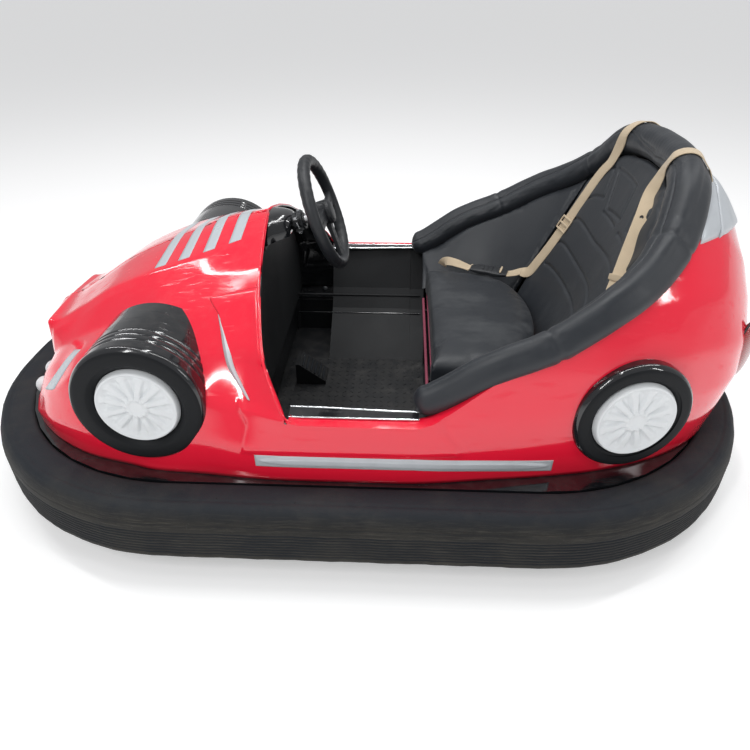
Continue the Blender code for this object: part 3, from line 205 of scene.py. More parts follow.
def piece(name, points, faces, materials, inside=None, body="chassis", replaces=None, slot=None, smooth_deg=40,
          uv=None):
    """A mesh object at the origin that rides on a body; doubles are merged, which closes seams and poles."""
    points = np.asarray(points, dtype=float).reshape(-1, 3)
    faces = turned_outwards(points, np.asarray(faces).reshape(-1, 4), inside)
    mesh = bpy.data.meshes.new(name)
    mesh.from_pydata(points.tolist(), [], faces.tolist())
    if uv is not None:
        layer = mesh.uv_layers.new(name="UVMap")
        layer.data.foreach_set("uv", np.asarray(uv, dtype=float).reshape(-1, 2)[faces.reshape(-1)].ravel())
    editor = bmesh.new()
    editor.from_mesh(mesh)
    bmesh.ops.remove_doubles(editor, verts=editor.verts, dist=MERGE)
    bmesh.ops.dissolve_degenerate(editor, edges=editor.edges, dist=MERGE)
    editor.to_mesh(mesh)
    editor.free()
    mesh.shade_smooth()
    mesh.set_sharp_from_angle(angle=math.radians(smooth_deg))
    item = shown(name, mesh)
    for material in materials if isinstance(materials, list) else [materials]:
        mesh.materials.append(material)
    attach(item, body)
    if replaces:
        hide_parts(replaces)
    return item


def mesh_points(item):
    """The places of a mesh's points, as an array."""
    flat = np.zeros(len(item.data.vertices) * 3)
    item.data.vertices.foreach_get("co", flat)
    return flat.reshape(-1, 3)


def spread(*values):
    """The values as arrays of floats that share one shape."""
    return np.broadcast_arrays(*(np.asarray(value, dtype=float) for value in values))


def through(places, values, at):
    """Values at new places on cubic curves that pass through every row of values and never overshoot."""
    places = np.asarray(places, dtype=float)
    values = np.asarray(values, dtype=float)
    steps = np.diff(places)
    widths = steps.reshape(-1, *([1] * (values.ndim - 1)))
    slopes = np.diff(values, axis=0) / widths
    tangents = np.zeros_like(values)
    tangents[0], tangents[-1] = slopes[0], slopes[-1]
    same_way = slopes[:-1] * slopes[1:] > 0
    total = np.where(same_way, slopes[:-1] + slopes[1:], 1.0)
    tangents[1:-1] = np.where(same_way, 2 * slopes[:-1] * slopes[1:] / total, 0.0)
    at = np.asarray(at, dtype=float)
    index = np.clip(np.searchsorted(places, at) - 1, 0, len(steps) - 1)
    share = np.clip((at - places[index]) / steps[index], 0.0, 1.0)
    shape = at.shape + (1,) * (values.ndim - 1)
    share = share.reshape(shape)
    rise = share * share * (3 - 2 * share)
    leave = share * (1 - share) ** 2
    arrive = share * share * (share - 1)
    width = steps[index].reshape(shape)
    return (values[index] * (1 - rise) + values[index + 1] * rise
            + width * (tangents[index] * leave + tangents[index + 1] * arrive))


def curve(values, at):
    """Values at shares of a curve whose given rows lie at even steps from 0 to 1."""
    return through(np.linspace(0, 1, len(values)), values, at)


def ramp(value, low, high):
    """0 below low, 1 above high and a smooth rise between them."""
    share = np.clip((np.asarray(value, dtype=float) - low) / (high - low), 0.0, 1.0)
    return share * share * (3 - 2 * share)


def unit(vectors):
    """Vectors divided by their lengths."""
    return vectors / np.maximum(np.linalg.norm(vectors, axis=-1, keepdims=True), 1e-12)


def run_along(path):
    """The distance run at each point of a path, from 0 at its start."""
    return np.concatenate([[0.0], np.cumsum(np.linalg.norm(np.diff(path, axis=0), axis=1))])


def carried(path, across, up, section):
    """A section of (sideways, upwards) offsets carried along a path: the path's point, plus the first
    offset times its sideways direction, plus the second times its upward one."""
    path, across, up = spread(path, across, up)
    section = np.asarray(section, dtype=float)
    section = section[None] if section.ndim == 2 else section
    return path[:, None] + across[:, None] * section[..., :1] + up[:, None] * section[..., 1:]


def spun(place, axis, profile, steps):
    """A profile of (radius, distance along) turned round an axis: place + axis * along + radius * spoke,
    where the spoke is level * cos + upright * sin of the angle."""
    axis = unit(np.asarray(axis, dtype=float))
    level_way = unit(np.cross((0.0, 0.0, 1.0) if abs(axis[2]) < 0.9 else (0.0, 1.0, 0.0), axis))
    upright = np.cross(axis, level_way)
    angle = np.linspace(0, TURN, steps, endpoint=False)
    spoke = level_way * np.cos(angle)[:, None] + upright * np.sin(angle)[:, None]
    profile = np.asarray(profile, dtype=float)
    return np.asarray(place) + axis * profile[:, None, 1:] + spoke[None] * profile[:, None, :1]


def closed_form(name, points, material, wrap=False, metres=False, **rest):
    """A closed skin over rings of points; its ends draw together unless it wraps round.
    With metres, its UV map holds the distance along and the distance round, both in metres."""
    points = np.concatenate([points, points[:, :1]], axis=1)
    if wrap:
        points = np.concatenate([points, points[:1]])
    else:
        ends = [np.broadcast_to(row[:-1].mean(axis=0), row.shape)[None] for row in (points[0], points[-1])]
        points = np.concatenate([ends[0], points, ends[1]])
    uv = None
    if metres:
        along, around = run_along(points.mean(axis=1)), run_along(points[len(points) // 2])
        uv = np.stack(np.broadcast_arrays(along[:, None], around[None, :]), axis=-1)
    return piece(name, points, grid_faces(*points.shape[:2]), material, uv=uv, **rest)


def swept(name, path, across, up, section, material, **rest):
    """A closed form: the section carried along the path."""
    return closed_form(name, carried(path, across, up, section), material, **rest)


def turned(name, place, axis, profile, steps, material, **rest):
    """A closed form: the profile spun round the axis."""
    return closed_form(name, spun(place, axis, profile, steps), material, **rest)


def circle(radius, steps=24):
    """A round section, (cos, sin) of the angle times the radius, which may change along the path."""
    angle = np.linspace(0, TURN, steps, endpoint=False)
    return np.asarray(radius)[..., None, None] * np.stack([np.cos(angle), np.sin(angle)], axis=-1)


def plate_outline(half_width, half_height, radius, steps=4):
    """A rectangle whose corners are cut by arcs, each a parabola between two points on its sides."""
    points = np.array([(1, 1), (-1, 1), (-1, -1), (1, -1)]) * (half_width, half_height)
    before = np.roll(points, 1, axis=0) - points
    after = np.roll(points, -1, axis=0) - points
    start, end = (points + unit(way) * np.minimum(radius, np.linalg.norm(way, axis=1) * 0.49)[:, None]
                  for way in (before, after))
    share = np.linspace(0, 1, steps + 1)[None, :, None]
    arc = start[:, None] * (1 - share) ** 2 + points[:, None] * 2 * share * (1 - share) + end[:, None] * share ** 2
    return arc.reshape(-1, 2)


def stretched(outline, half_width, half_height):
    """An outline widened and heightened station by station."""
    return outline[None] * np.stack(np.broadcast_arrays(half_width, half_height), axis=-1)[:, None]


print("grid of 3 by 3", grid_faces(3, 3).tolist())

# %% [markdown]
# A finish is a small sum: dust here, scratches there, a little more shine in between.
# Written as nodes such a sum is hard to read, so one class lets Python's own signs add the maths nodes.
# A second class holds a material, its shader, and one method that adds any other node.

# %% Shader helpers


def fill(tree, spot, value):
    """Links a Value to a socket, or writes a plain value into it."""
    if isinstance(value, Value):
        tree.links.new(value.socket, spot)
    else:
        spot.default_value = value


class Value:
    """A socket that holds a number; +, - and * add the maths node that the sign stands for."""

    def __init__(self, tree, socket):
        self.tree, self.socket = tree, socket

    def maths(self, operation, *values):
        node = self.tree.nodes.new("ShaderNodeMath")
        node.operation = operation
        for spot, value in zip(node.inputs, values):
            fill(self.tree, spot, value)
        return Value(self.tree, node.outputs[0])

    def __add__(self, other):
        return self.maths("ADD", self, other)

    __radd__ = __add__

    def __sub__(self, other):
        return self.maths("SUBTRACT", self, other)

    def __rsub__(self, other):
        return self.maths("SUBTRACT", other, self)

    def __mul__(self, other):
        return self.maths("MULTIPLY", self, other)

    __rmul__ = __mul__

    def sine(self):
        return self.maths("SINE", self)


class Finish:
    """A material: its Principled shader with its even values set, and a method for every other node."""

    def __init__(self, name, colour, roughness, **even):
        self.material = bpy.data.materials.new(name)
        self.material.use_nodes = True
        self.tree = self.material.node_tree
        self.shader = self.tree.nodes["Principled BSDF"]
        self.shader.inputs["Base Color"].default_value = (*colour, 1.0)
        self.shader.inputs["Roughness"].default_value = roughness
        for key, value in even.items():
            self.shader.inputs[key.replace("_", " ").title().replace("Ior", "IOR")].default_value = value
        self.place = self.node("ShaderNodeTexCoord", output="Object")

    def node(self, kind, settings=None, inputs=None, output=0):
        """Adds a node: its settings come first, then the values or links of its sockets."""
        node = self.tree.nodes.new(kind)
        for key, value in (settings or {}).items():
            setattr(node, key, value)
        for key, value in (inputs or {}).items():
            fill(self.tree, node.inputs[key], value)
        return Value(self.tree, node.outputs[output])

    def noise(self, scale, detail=3.0, rough=0.5, stretch=None):
        """Cloudy noise between 0 and 1, at so many cells a metre; stretch scales it along the axes."""
        spot = self.place
        if stretch:
            spot = self.node("ShaderNodeMapping", inputs={"Vector": spot, "Scale": stretch})
        return self.node("ShaderNodeTexNoise", {"noise_dimensions": "3D"},
                         {"Vector": spot, "Scale": scale, "Detail": detail, "Roughness": rough})

    def cells(self, scale):
        """Cell noise: the distance to the nearest of scattered points."""
        return self.node("ShaderNodeTexVoronoi", {"feature": "F1"}, {"Vector": self.place, "Scale": scale},
                         output="Distance")

    def between(self, value, low, high):
        """The value's run from low to high, as 0 to 1, clamped."""
        return self.node("ShaderNodeMapRange", {"clamp": True},
                         {"Value": value, "From Min": low, "From Max": high, "To Min": 0.0, "To Max": 1.0})

    def mix(self, share, first, second):
        """A colour between two colours."""
        node = self.tree.nodes.new("ShaderNodeMix")
        node.data_type = "RGBA"
        for number, value in ((0, share), (6, first), (7, second)):
            fill(self.tree, node.inputs[number], (*value, 1.0) if isinstance(value, tuple) else value)
        return Value(self.tree, node.outputs[2])

    def upward(self):
        """How much the surface looks up: 1 on top, 0 on a wall."""
        normal = self.node("ShaderNodeTexCoord", output="Normal")
        return self.node("ShaderNodeSeparateXYZ", inputs={"Vector": normal}, output="Z")

    def axis(self, name, place=None):
        """One coordinate of the place on the object."""
        return self.node("ShaderNodeSeparateXYZ", inputs={"Vector": place or self.place}, output=name)

    def set(self, socket, value):
        self.tree.links.new(value.socket, self.shader.inputs[socket])
        return self

    def bump(self, height, distance, strength=1.0):
        """The height, times so many metres, as relief in the Normal."""
        normal = self.node("ShaderNodeBump", inputs={"Height": height, "Distance": distance, "Strength": strength},
                           output="Normal")
        return self.set("Normal", normal)

    def done(self, colour, roughness, *relief):
        """The finished material, with its colour, roughness and relief given as sums of patterns."""
        self.set("Base Color", colour)
        self.set("Roughness", roughness)
        self.bump(*relief)
        return self.material


# %% [markdown]
# The car's colour is a thick red gelcoat, laid in a mould and polished.
# Its mirror is never flat: the laminate under it shrinks, so reflections swim a little.
# A slow noise as bump gives that swim, and a fine stretched one gives the scratches of many sponges.

# %% Gelcoat finishes


def gelcoat(name, colour, dark, wave=0.0006):
    """Glossy moulded colour: slow waves in the reflections, dull scratched places and thin dust."""
    finish = Finish(name, colour, 0.12, coat_roughness=0.03, specular_ior_level=0.55)
    slow = finish.noise(7.0, 1.0)
    patches = finish.noise(3.5, 4.0, 0.6)
    scratch = finish.between(finish.noise(90.0, 2.0, 0.5, stretch=(0.12, 1.0, 0.6)), 0.60, 0.72)
    dust = finish.between(finish.upward(), 0.55, 1.0) * finish.between(finish.noise(40.0, 5.0, 0.7), 0.45, 0.80)
    finish.set("Base Color", finish.mix(dust * 0.05, finish.mix(patches * 0.5, colour, dark), (0.55, 0.50, 0.46)))
    finish.set("Roughness", 0.07 + patches * 0.07 + scratch * 0.16 + dust * 0.12)
    finish.set("Coat Weight", 0.55 - scratch * 0.3)
    finish.bump(slow + finish.noise(260.0, 1.0) * 0.012 - scratch * 0.02, wave * 10)
    return finish.material


red = gelcoat("red_gelcoat", (0.90, 0.010, 0.040), (0.78, 0.008, 0.032))
black = gelcoat("black_gelcoat", (0.008, 0.009, 0.011), (0.014, 0.015, 0.017), 0.0009)
print("finishes", red.name, black.name)

# %% [markdown]
# The body's shape is a set of long lines from nose to tail: foot, belt, waist, shoulder, three creases and crown.
# Each row gives where those lines pass at one place, in thousandths of the car's reach, half width and height.
# Cubic curves run through the rows, and the corners across a row are rounded by averaging nearby points.

# %% Lines of the body
NOSE_REACH, TAIL_REACH = 0.835, 0.915
BODY_HALF_WIDTH, BODY_HEIGHT, BODY_FOOT = 0.490, 0.600, 0.2153
BODY_WALL = 0.005
BODY_SECTIONS = (
    (1000, 300, 340, 20, 345, 35, 330, 43, 270, 46, 200, 47, 100, 48, 48),
    (976, 459, 475, 30, 460, 45, 400, 70, 122, 85, 112, 190, 82, 290, 303),
    (958, 540, 552, 38, 520, 64, 440, 98, 255, 122, 235, 216, 204, 306, 318),
    (943, 590, 600, 48, 558, 88, 470, 130, 337, 150, 306, 233, 290, 320, 333),
    (922, 633, 640, 60, 585, 120, 490, 178, 365, 205, 325, 285, 282, 323, 341),
    (838, 755, 765, 91, 704, 200, 571, 258, 418, 291, 337, 350, 290, 381, 408),
    (719, 863, 867, 124, 776, 308, 633, 358, 459, 375, 357, 458, 310, 483, 511),
    (599, 918, 908, 141, 816, 308, 673, 391, 531, 441, 378, 525, 320, 555, 588),
    (527, 949, 914, 141, 837, 308, 704, 408, 551, 483, 408, 546, 316, 588, 629),
    (395, 967, 959, 158, 918, 308, 755, 424, 571, 516, 408, 588, 276, 641, 700),
    (269, 988, 996, 141, 929, 283, 786, 433, 582, 550, 408, 628, 204, 691, 733),
    (156, 996, 1000, 141, 990, 283, 918, 408, 755, 575, 551, 708, 306, 791, 825),
    (-109, 996, 1000, 141, 996, 283, 969, 424, 918, 575, 816, 741, 612, 891, 975),
    (-328, 955, 967, 141, 959, 275, 929, 424, 878, 608, 755, 791, 510, 941, 991),
    (-546, 894, 908, 141, 912, 275, 888, 441, 816, 641, 673, 825, 449, 958, 999),
    (-710, 802, 816, 141, 827, 275, 806, 441, 724, 641, 592, 825, 388, 950, 991),
    (-809, 704, 724, 141, 739, 275, 724, 441, 633, 624, 490, 791, 316, 916, 958),
    (-896, 561, 612, 141, 643, 275, 622, 424, 510, 575, 388, 700, 245, 783, 808),
    (-962, 306, 408, 141, 480, 275, 459, 391, 367, 508, 265, 583, 143, 624, 641),
    (-1000, 82, 163, 191, 224, 291, 214, 375, 163, 424, 112, 458, 61, 475, 483),
)
COCKPIT_EDGE = (
    (311, 808), (277, 728), (251, 570), (228, 453), (180, 333), (153, 270), (120, 261), (-145, 261), (-175, 271),
    (-328, 416), (-451, 500), (-564, 604), (-656, 691), (-721, 791), (-765, 908), (-814, 933), (-874, 975),
)
CORNER_SOFTNESS = (0.30, 0.25, 0.20, 0.26, 0.20, 0.14, 0.14, 0.45)
ROUNDING_STEPS = 4


def reach(share):
    """Place along the car for a share of the reach to the nose or the tail."""
    share = np.asarray(share, dtype=float)
    return share * np.where(share > 0, NOSE_REACH, TAIL_REACH)


def level(share):
    """Height over the floor for a share of the body's height."""
    return BODY_FOOT + np.asarray(share, dtype=float) * BODY_HEIGHT


rows = np.array(BODY_SECTIONS[::-1]) / 1000
edge_rows = np.array(COCKPIT_EDGE[::-1]) / 1000
nothing = np.zeros((len(rows), 1))
line_places, edge_places = reach(rows[:, 0]), reach(edge_rows[:, 0])
line_widths = BODY_HALF_WIDTH * np.hstack([rows[:, 1:2], rows[:, 2:14:2], nothing])
line_levels = level(np.hstack([nothing, rows[:, 3:14:2], rows[:, 14:]]))
edge_levels = level(edge_rows[:, 1])
LAST_LINE = 7


def edge_level(x):
    """Height of the cockpit's edge, and a height over everything in front of it and behind it."""
    x = np.asarray(x, dtype=float)
    inside = through(edge_places, edge_levels, x)
    return np.where((x > edge_places[-1]) | (x < edge_places[0]), level(1.2), inside)


def section_point(x, t):
    """Half width and height at place x, a share t of the way over the lines: 0 at the foot, 7 at the crown.
    The straight runs between lines are averaged over a short reach of t, so each corner is rounded."""
    x, t = spread(x, t)
    widths = through(line_places, line_widths, x)
    levels = through(line_places, line_levels, x)
    soft = np.interp(t, np.arange(LAST_LINE + 1), CORNER_SOFTNESS)
    total, width, height = np.zeros((3, *x.shape))
    for step in range(-ROUNDING_STEPS, ROUNDING_STEPS + 1):
        weight = 1 - abs(step) / (ROUNDING_STEPS + 1)
        spot = t + soft * step / (ROUNDING_STEPS + 1)
        side = np.where(spot > LAST_LINE, -1.0, 1.0)
        spot = np.where(spot > LAST_LINE, 2 * LAST_LINE - spot, spot)
        index = np.clip(np.floor(spot).astype(int), 0, LAST_LINE - 1)
        share = (spot - index)[..., None]
        index = index[..., None]
        low_w, high_w = np.take_along_axis(widths, index, -1), np.take_along_axis(widths, index + 1, -1)
        low_z, high_z = np.take_along_axis(levels, index, -1), np.take_along_axis(levels, index + 1, -1)
        width += weight * side * (low_w + (high_w - low_w) * share)[..., 0]
        height += weight * (low_z + (high_z - low_z) * share)[..., 0]
        total += weight
    return width / total, height / total


def body_point(x, t):
    """A point of the body's left side, as an array of (x, y, z)."""
    width, height = section_point(x, t)
    x = np.broadcast_to(x, width.shape)
    return np.stack([x, np.maximum(width, 0.0), height], axis=-1)


def body_normal(x, t, small=0.002):
    """Outward direction on the left side: the cross product of a step along and a step across."""
    along = body_point(x + small, t) - body_point(x - small, t)
    across = body_point(x, np.minimum(t + 0.02, LAST_LINE)) - body_point(x, np.maximum(t - 0.02, 0.0))
    return unit(np.cross(across, along))


def edge_share(x):
    """How far over the lines the cockpit's edge lies at each place, between 0 and 7."""
    dense = np.linspace(0, LAST_LINE, 281)
    levels = section_point(np.asarray(x)[:, None], dense[None, :])[1]
    levels = np.maximum.accumulate(levels, axis=1)
    limit = edge_level(x)
    return np.array([np.interp(top, row, dense) for top, row in zip(limit, levels)])


print("lines", line_widths.shape, "edge at the sill", round(float(edge_level(0.0)), 4))

# %% [markdown]
# The shell is one thin moulding, open where the rider sits, so it is a surface first and gets its wall later.
# Columns of the grid keep to the body's lines, and those over the cockpit's edge are drawn down onto it.
# Along the sills the moulding turns inwards as a narrow shelf, which a few more columns make.

# %% Body shell
SILL_SHELF = 0.034
SHELF_START, SHELF_END = 0.130, 0.122
PANEL_LIFT = 0.0065


def sill_panel(x, z):
    """How far the door panel stands out: full between its front and rear lines, nothing outside them."""
    front = np.interp(z, (0.2775, 0.3115, 0.356, 0.390), (0.2397, 0.2315, 0.2205, 0.2425))
    rear = np.interp(z, (0.2917, 0.320, 0.353, 0.383), (-0.250, -0.2275, -0.2035, -0.195))
    rise = ramp(z, 0.288, 0.300) * (1 - ramp(z, 0.384, 0.394))
    return PANEL_LIFT * ramp(front - x, 0.0, 0.010) * ramp(x - rear, 0.0, 0.024) * rise


def stations(spans):
    """Places along the car: each span is (start, end, step)."""
    parts = [np.arange(start, end, step) for start, end, step in spans]
    return np.append(np.concatenate(parts), spans[-1][1])


shell_x = stations(((-0.915, -0.86, 0.003), (-0.86, -0.74, 0.006), (-0.74, -0.30, 0.011), (-0.30, -0.18, 0.006),
                    (-0.18, 0.09, 0.013), (0.09, 0.135, 0.0012), (0.135, 0.28, 0.0035), (0.28, 0.74, 0.010),
                    (0.74, 0.835, 0.0025)))
shell_t = np.linspace(0, LAST_LINE, LAST_LINE * 10 + 1)
shell_edge = edge_share(shell_x)
columns = np.minimum(shell_t[None, :], shell_edge[:, None])
half = body_point(shell_x[:, None], columns)
half = half + body_normal(shell_x[:, None], columns) * sill_panel(half[..., 0], half[..., 2])[..., None]
shelf = SILL_SHELF * ramp(-shell_x, -SHELF_START, -SHELF_END) * (shell_edge < LAST_LINE - 0.01)
inward = np.linspace(0, 1, 5)[1:]
shelf_points = np.repeat(half[:, -1:, :], len(inward), axis=1)
shelf_points[..., 1] = np.maximum(shelf_points[..., 1] - shelf[:, None] * inward, 0.0)
shelf_points[..., 2] += 0.0005 * np.sin(math.pi * inward)[None, :]
left = np.concatenate([half, shelf_points], axis=1)
left = np.concatenate([left[:1] * np.array([1, 0, 1]), left, left[-1:] * np.array([1, 0, 1])])
left_faces = grid_faces(*left.shape[:2])
shell_points = np.concatenate([left.reshape(-1, 3), (left * np.array([1, -1, 1])).reshape(-1, 3)])
shell_faces = np.concatenate([left_faces, left_faces[:, ::-1] + left.shape[0] * left.shape[1]])
body_shell = piece("red_body", shell_points, shell_faces, [red, black], inside=(0, 0, 0.25), replaces="body_shell",
                   slot="red_gelcoat", smooth_deg=50)
wall = body_shell.modifiers.new("wall", "SOLIDIFY")
wall.thickness = BODY_WALL
wall.offset = -1
wall.material_offset = 1
print("shell", len(body_shell.data.polygons), "faces")

# %% [markdown]
# The moulding's edge round the cockpit is turned over, which shows as a thin round bead.
# It starts at one sill, climbs the bonnet's rear edge, crosses the crown and comes down to the other sill.

# %% Edge bead
BEAD_RADIUS = 0.0034
climb_x = np.linspace(0.121, float(edge_places[-1]), 60)
climb = body_point(climb_x, edge_share(climb_x - 1e-6))
last_share = float(edge_share(climb_x[-1:] - 1e-6)[0])
over = body_point(np.full(30, edge_places[-1]), np.linspace(last_share, LAST_LINE, 31)[1:])
half_path = np.concatenate([climb, over])
bead_path = np.concatenate([half_path, (half_path * (1, -1, 1))[-2::-1]])
bead_along = unit(np.gradient(bead_path, axis=0))
bead_side = unit(np.cross(bead_along, (0.3, 0.0, 1.0)))
swept("edge_bead", bead_path, bead_side, np.cross(bead_side, bead_along), circle(BEAD_RADIUS), red,
      slot="red_gelcoat", smooth_deg=60)
print("edge bead", len(bead_path), "stations")

# %% [markdown]
# The rest of the car is rubber, vinyl, webbing, paint, plastic and a little bare metal.
# Each finish is a few lines: an even base, clouds of dust or wear over it, and a fine grain as bump; the rubber also
# carries a painted reflection and painted shade in its colour, and the vinyl a painted highlight.
# The patterns read the object's own coordinates in metres, so their scale is the real one.

# %% Other finishes


def rubber(name, wall=(0.011, 0.0105, 0.0095), top=(0.015, 0.018, 0.023), dust=(0.16, 0.145, 0.115)):
    """Worn rubber: dusty on top, where its colour also holds a bluish painted sky reflection, brown streaks that run
    along the wall, and small pits coloured darker as painted shade.
    """
    finish = Finish(name, wall, 0.7, specular_ior_level=0.3)
    up = finish.between(finish.upward(), 0.10, 0.70)
    cloud = finish.noise(8.0, 6.0, 0.62)
    streak = finish.between(finish.noise(16.0, 5.0, 0.7, stretch=(1.0, 1.0, 14.0)), 0.50, 0.78)
    pits = 1 - finish.between(finish.cells(34.0), 0.03, 0.07)
    grains = finish.noise(420.0, 2.0)
    # The top colour is a painted reflection: upward faces are tinted bluish and lighter than the wall.
    colour = finish.mix(up, wall, top)
    colour = finish.mix(streak * (1 - up) * 0.30, colour, dust)
    colour = finish.mix(finish.between(cloud, 0.45, 0.80) * 0.16, colour, dust)
    # Pits on upward faces are coloured near black: painted shade in the hollows.
    return finish.done(finish.mix(pits * up * 0.8, colour, (0.006, 0.006, 0.006)),
                       0.58 + cloud * 0.26 - pits * 0.2,
                       grains * 0.5 + streak * 0.7 - pits * 1.2 + cloud * 0.6, 0.0012, 0.8)


def vinyl(name, colour=(0.013, 0.016, 0.021), worn=(0.075, 0.080, 0.085), wear=0.25):
    """Coated cloth with a pebbled grain; pale clouds, stronger on upward faces, are partly wear from sitting and
    partly painted highlight, and are a little dull.
    """
    finish = Finish(name, colour, 0.42, specular_ior_level=0.5, sheen_weight=0.06)
    pebble = finish.cells(780.0)
    rubbed = finish.between(finish.noise(7.0, 6.0, 0.68, stretch=(1.0, 2.2, 1.0)), 0.46, 0.74)
    cloud = finish.noise(18.0, 4.0, 0.6)
    up = finish.between(finish.upward(), 0.2, 0.95)
    # The pale colour, weighted to upward faces, is partly rubbed wear and partly painted highlight.
    wear_and_highlight, shaded = rubbed * (0.25 + up * 0.75) * wear, finish.mix(cloud, colour, (0.019, 0.023, 0.029))
    return finish.done(finish.mix(wear_and_highlight, shaded, worn),
                       0.36 + rubbed * 0.20 + cloud * 0.12,
                       pebble * 0.25 + cloud * 0.8, 0.0011, 0.55)


def webbing(name, colour=(0.60, 0.48, 0.33), shade=(0.36, 0.28, 0.185)):
    """Narrow woven band: a twill of sine waves along and across, read from the UV map in metres."""
    finish = Finish(name, colour, 0.85, sheen_weight=0.25)
    spot = finish.node("ShaderNodeTexCoord", output="UV")
    along, across = finish.axis("X", spot), finish.axis("Y", spot)
    twill = ((along + across) * (TURN / 0.0036)).sine() * 0.5 + 0.5
    ends = (across * (TURN / 0.0028)).sine() * 0.5 + 0.5
    soil = finish.between(finish.noise(14.0, 4.0, 0.6), 0.42, 0.78)
    return finish.done(finish.mix(soil * 0.35 + twill * ends * 0.30, colour, shade),
                       0.78 + twill * 0.15,
                       twill + ends, 0.0003, 0.9)


def paint(name, colour, roughness, bare=(0.10, 0.095, 0.09), wear=0.15, grain=0.0003):
    """Sprayed paint on metal: faint orange peel, dust that settles on top and a few rubbed places."""
    finish = Finish(name, colour, roughness, specular_ior_level=0.5)
    rubbed = finish.between(finish.noise(13.0, 6.0, 0.7), 0.56, 0.80)
    dust = finish.between(finish.upward(), 0.3, 1.0) * finish.between(finish.noise(28.0, 5.0, 0.7), 0.40, 0.85)
    return finish.done(finish.mix(dust * 0.10, finish.mix(rubbed * wear, colour, bare), (0.30, 0.27, 0.23)),
                       roughness + rubbed * 0.18 + dust * 0.15,
                       finish.noise(340.0, 1.0) + rubbed * 0.6, grain, 0.6)


def metal(name, colour, roughness, metallic=1.0, brushed=(1.0, 1.0, 0.05)):
    """Metal with fine brush lines along one axis and dull clouds."""
    finish = Finish(name, colour, roughness, metallic=metallic)
    lines = finish.noise(420.0, 3.0, 0.6, stretch=brushed)
    dull = finish.between(finish.noise(12.0, 5.0, 0.6), 0.45, 0.80)
    return finish.done(finish.mix(dull * 0.35, colour, tuple(0.55 * value for value in colour)),
                       roughness + lines * 0.12 + dull * 0.20,
                       lines, 0.0002, 0.5)


def moulded(name, colour, roughness, shade, grain=0.0002, shine=0.5):
    """Moulded plastic: even colour, faint clouds, a trace of dirt and a fine skin."""
    finish = Finish(name, colour, roughness, specular_ior_level=shine)
    cloud = finish.noise(16.0, 4.0, 0.6)
    dirt = finish.between(finish.noise(60.0, 5.0, 0.7), 0.60, 0.85)
    return finish.done(finish.mix(cloud * 0.5 + dirt * 0.2, colour, shade),
                       roughness + cloud * 0.10 + dirt * 0.15,
                       finish.noise(600.0, 1.0) + cloud * 2.0, grain, 0.6)


def lens_plastic(name, colour):
    """Red lamp plastic: the ribs moulded inside it show as fine upright lines."""
    finish = Finish(name, colour, 0.16, coat_weight=0.6, coat_roughness=0.05, specular_ior_level=0.6)
    ribs = (finish.axis("Z") * (TURN / 0.0055)).sine() * 0.5 + 0.5
    cloud = finish.noise(30.0, 3.0)
    return finish.done(finish.mix(ribs * 0.45 + cloud * 0.2, colour, tuple(0.45 * value for value in colour)),
                       0.12 + cloud * 0.10,
                       ribs, 0.0005, 0.7)


def board(name, colour, shade):
    """Painted plywood: the veneer's grain shows through as long soft lines."""
    finish = Finish(name, colour, 0.6)
    lines = finish.noise(60.0, 4.0, 0.6, stretch=(1.0, 0.06, 1.0))
    return finish.done(finish.mix(lines, colour, shade),
                       0.52 + lines * 0.2,
                       lines, 0.0005, 0.6)


tyre_rubber = rubber("tyre_rubber")
seat_vinyl = vinyl("seat_vinyl")
# The cushion carries more of the pale clouds: wear and painted highlight on its top.
cushion_vinyl = vinyl("cushion_vinyl", wear=0.62)
strap_cloth = webbing("strap_cloth")
satin_black = paint("satin_black", (0.012, 0.013, 0.015), 0.36)
wheel_black = moulded("wheel_black", (0.014, 0.016, 0.019), 0.40, (0.024, 0.026, 0.030), 0.0006)
wall_black = moulded("wall_black", (0.0085, 0.0095, 0.011), 0.46, (0.011, 0.012, 0.014), shine=0.18)
lining_black = moulded("lining_black", (0.0085, 0.0095, 0.011), 0.62, (0.014, 0.015, 0.017), 0.0008)
tread_paint = paint("tread_paint", (0.014, 0.015, 0.017), 0.42, (0.20, 0.19, 0.18), 0.30, 0.0006)
white_plastic = moulded("white_plastic", (0.80, 0.82, 0.83), 0.28, (0.66, 0.69, 0.71), 0.0003)
silver_paint = metal("silver_paint", (0.58, 0.61, 0.64), 0.32, 0.25, (1.0, 1.0, 1.0))
stripe_grey = moulded("stripe_grey", (0.50, 0.55, 0.58), 0.24, (0.44, 0.48, 0.52), 0.0001)
bare_steel = metal("bare_steel", (0.50, 0.50, 0.51), 0.30)
chrome = metal("chrome", (0.82, 0.84, 0.86), 0.10)
lamp_red = lens_plastic("lamp_red", (0.40, 0.035, 0.035))
board_red = board("board_red", (0.36, 0.070, 0.120), (0.25, 0.045, 0.080))
battery_grey = moulded("battery_grey", (0.10, 0.11, 0.12), 0.5, (0.06, 0.065, 0.07), 0.0005)
print("finishes", len(bpy.data.materials))

# %% [markdown]
# The shell's flat places carry thin raised things: shoulder plates, silver blades, stripes and sill strips.
# Each lies on a small grid of its own, laid over the body's surface and lifted along its normal.
# A grid that follows the thing's outline gives clean edges, which a cut in the big shell would not.

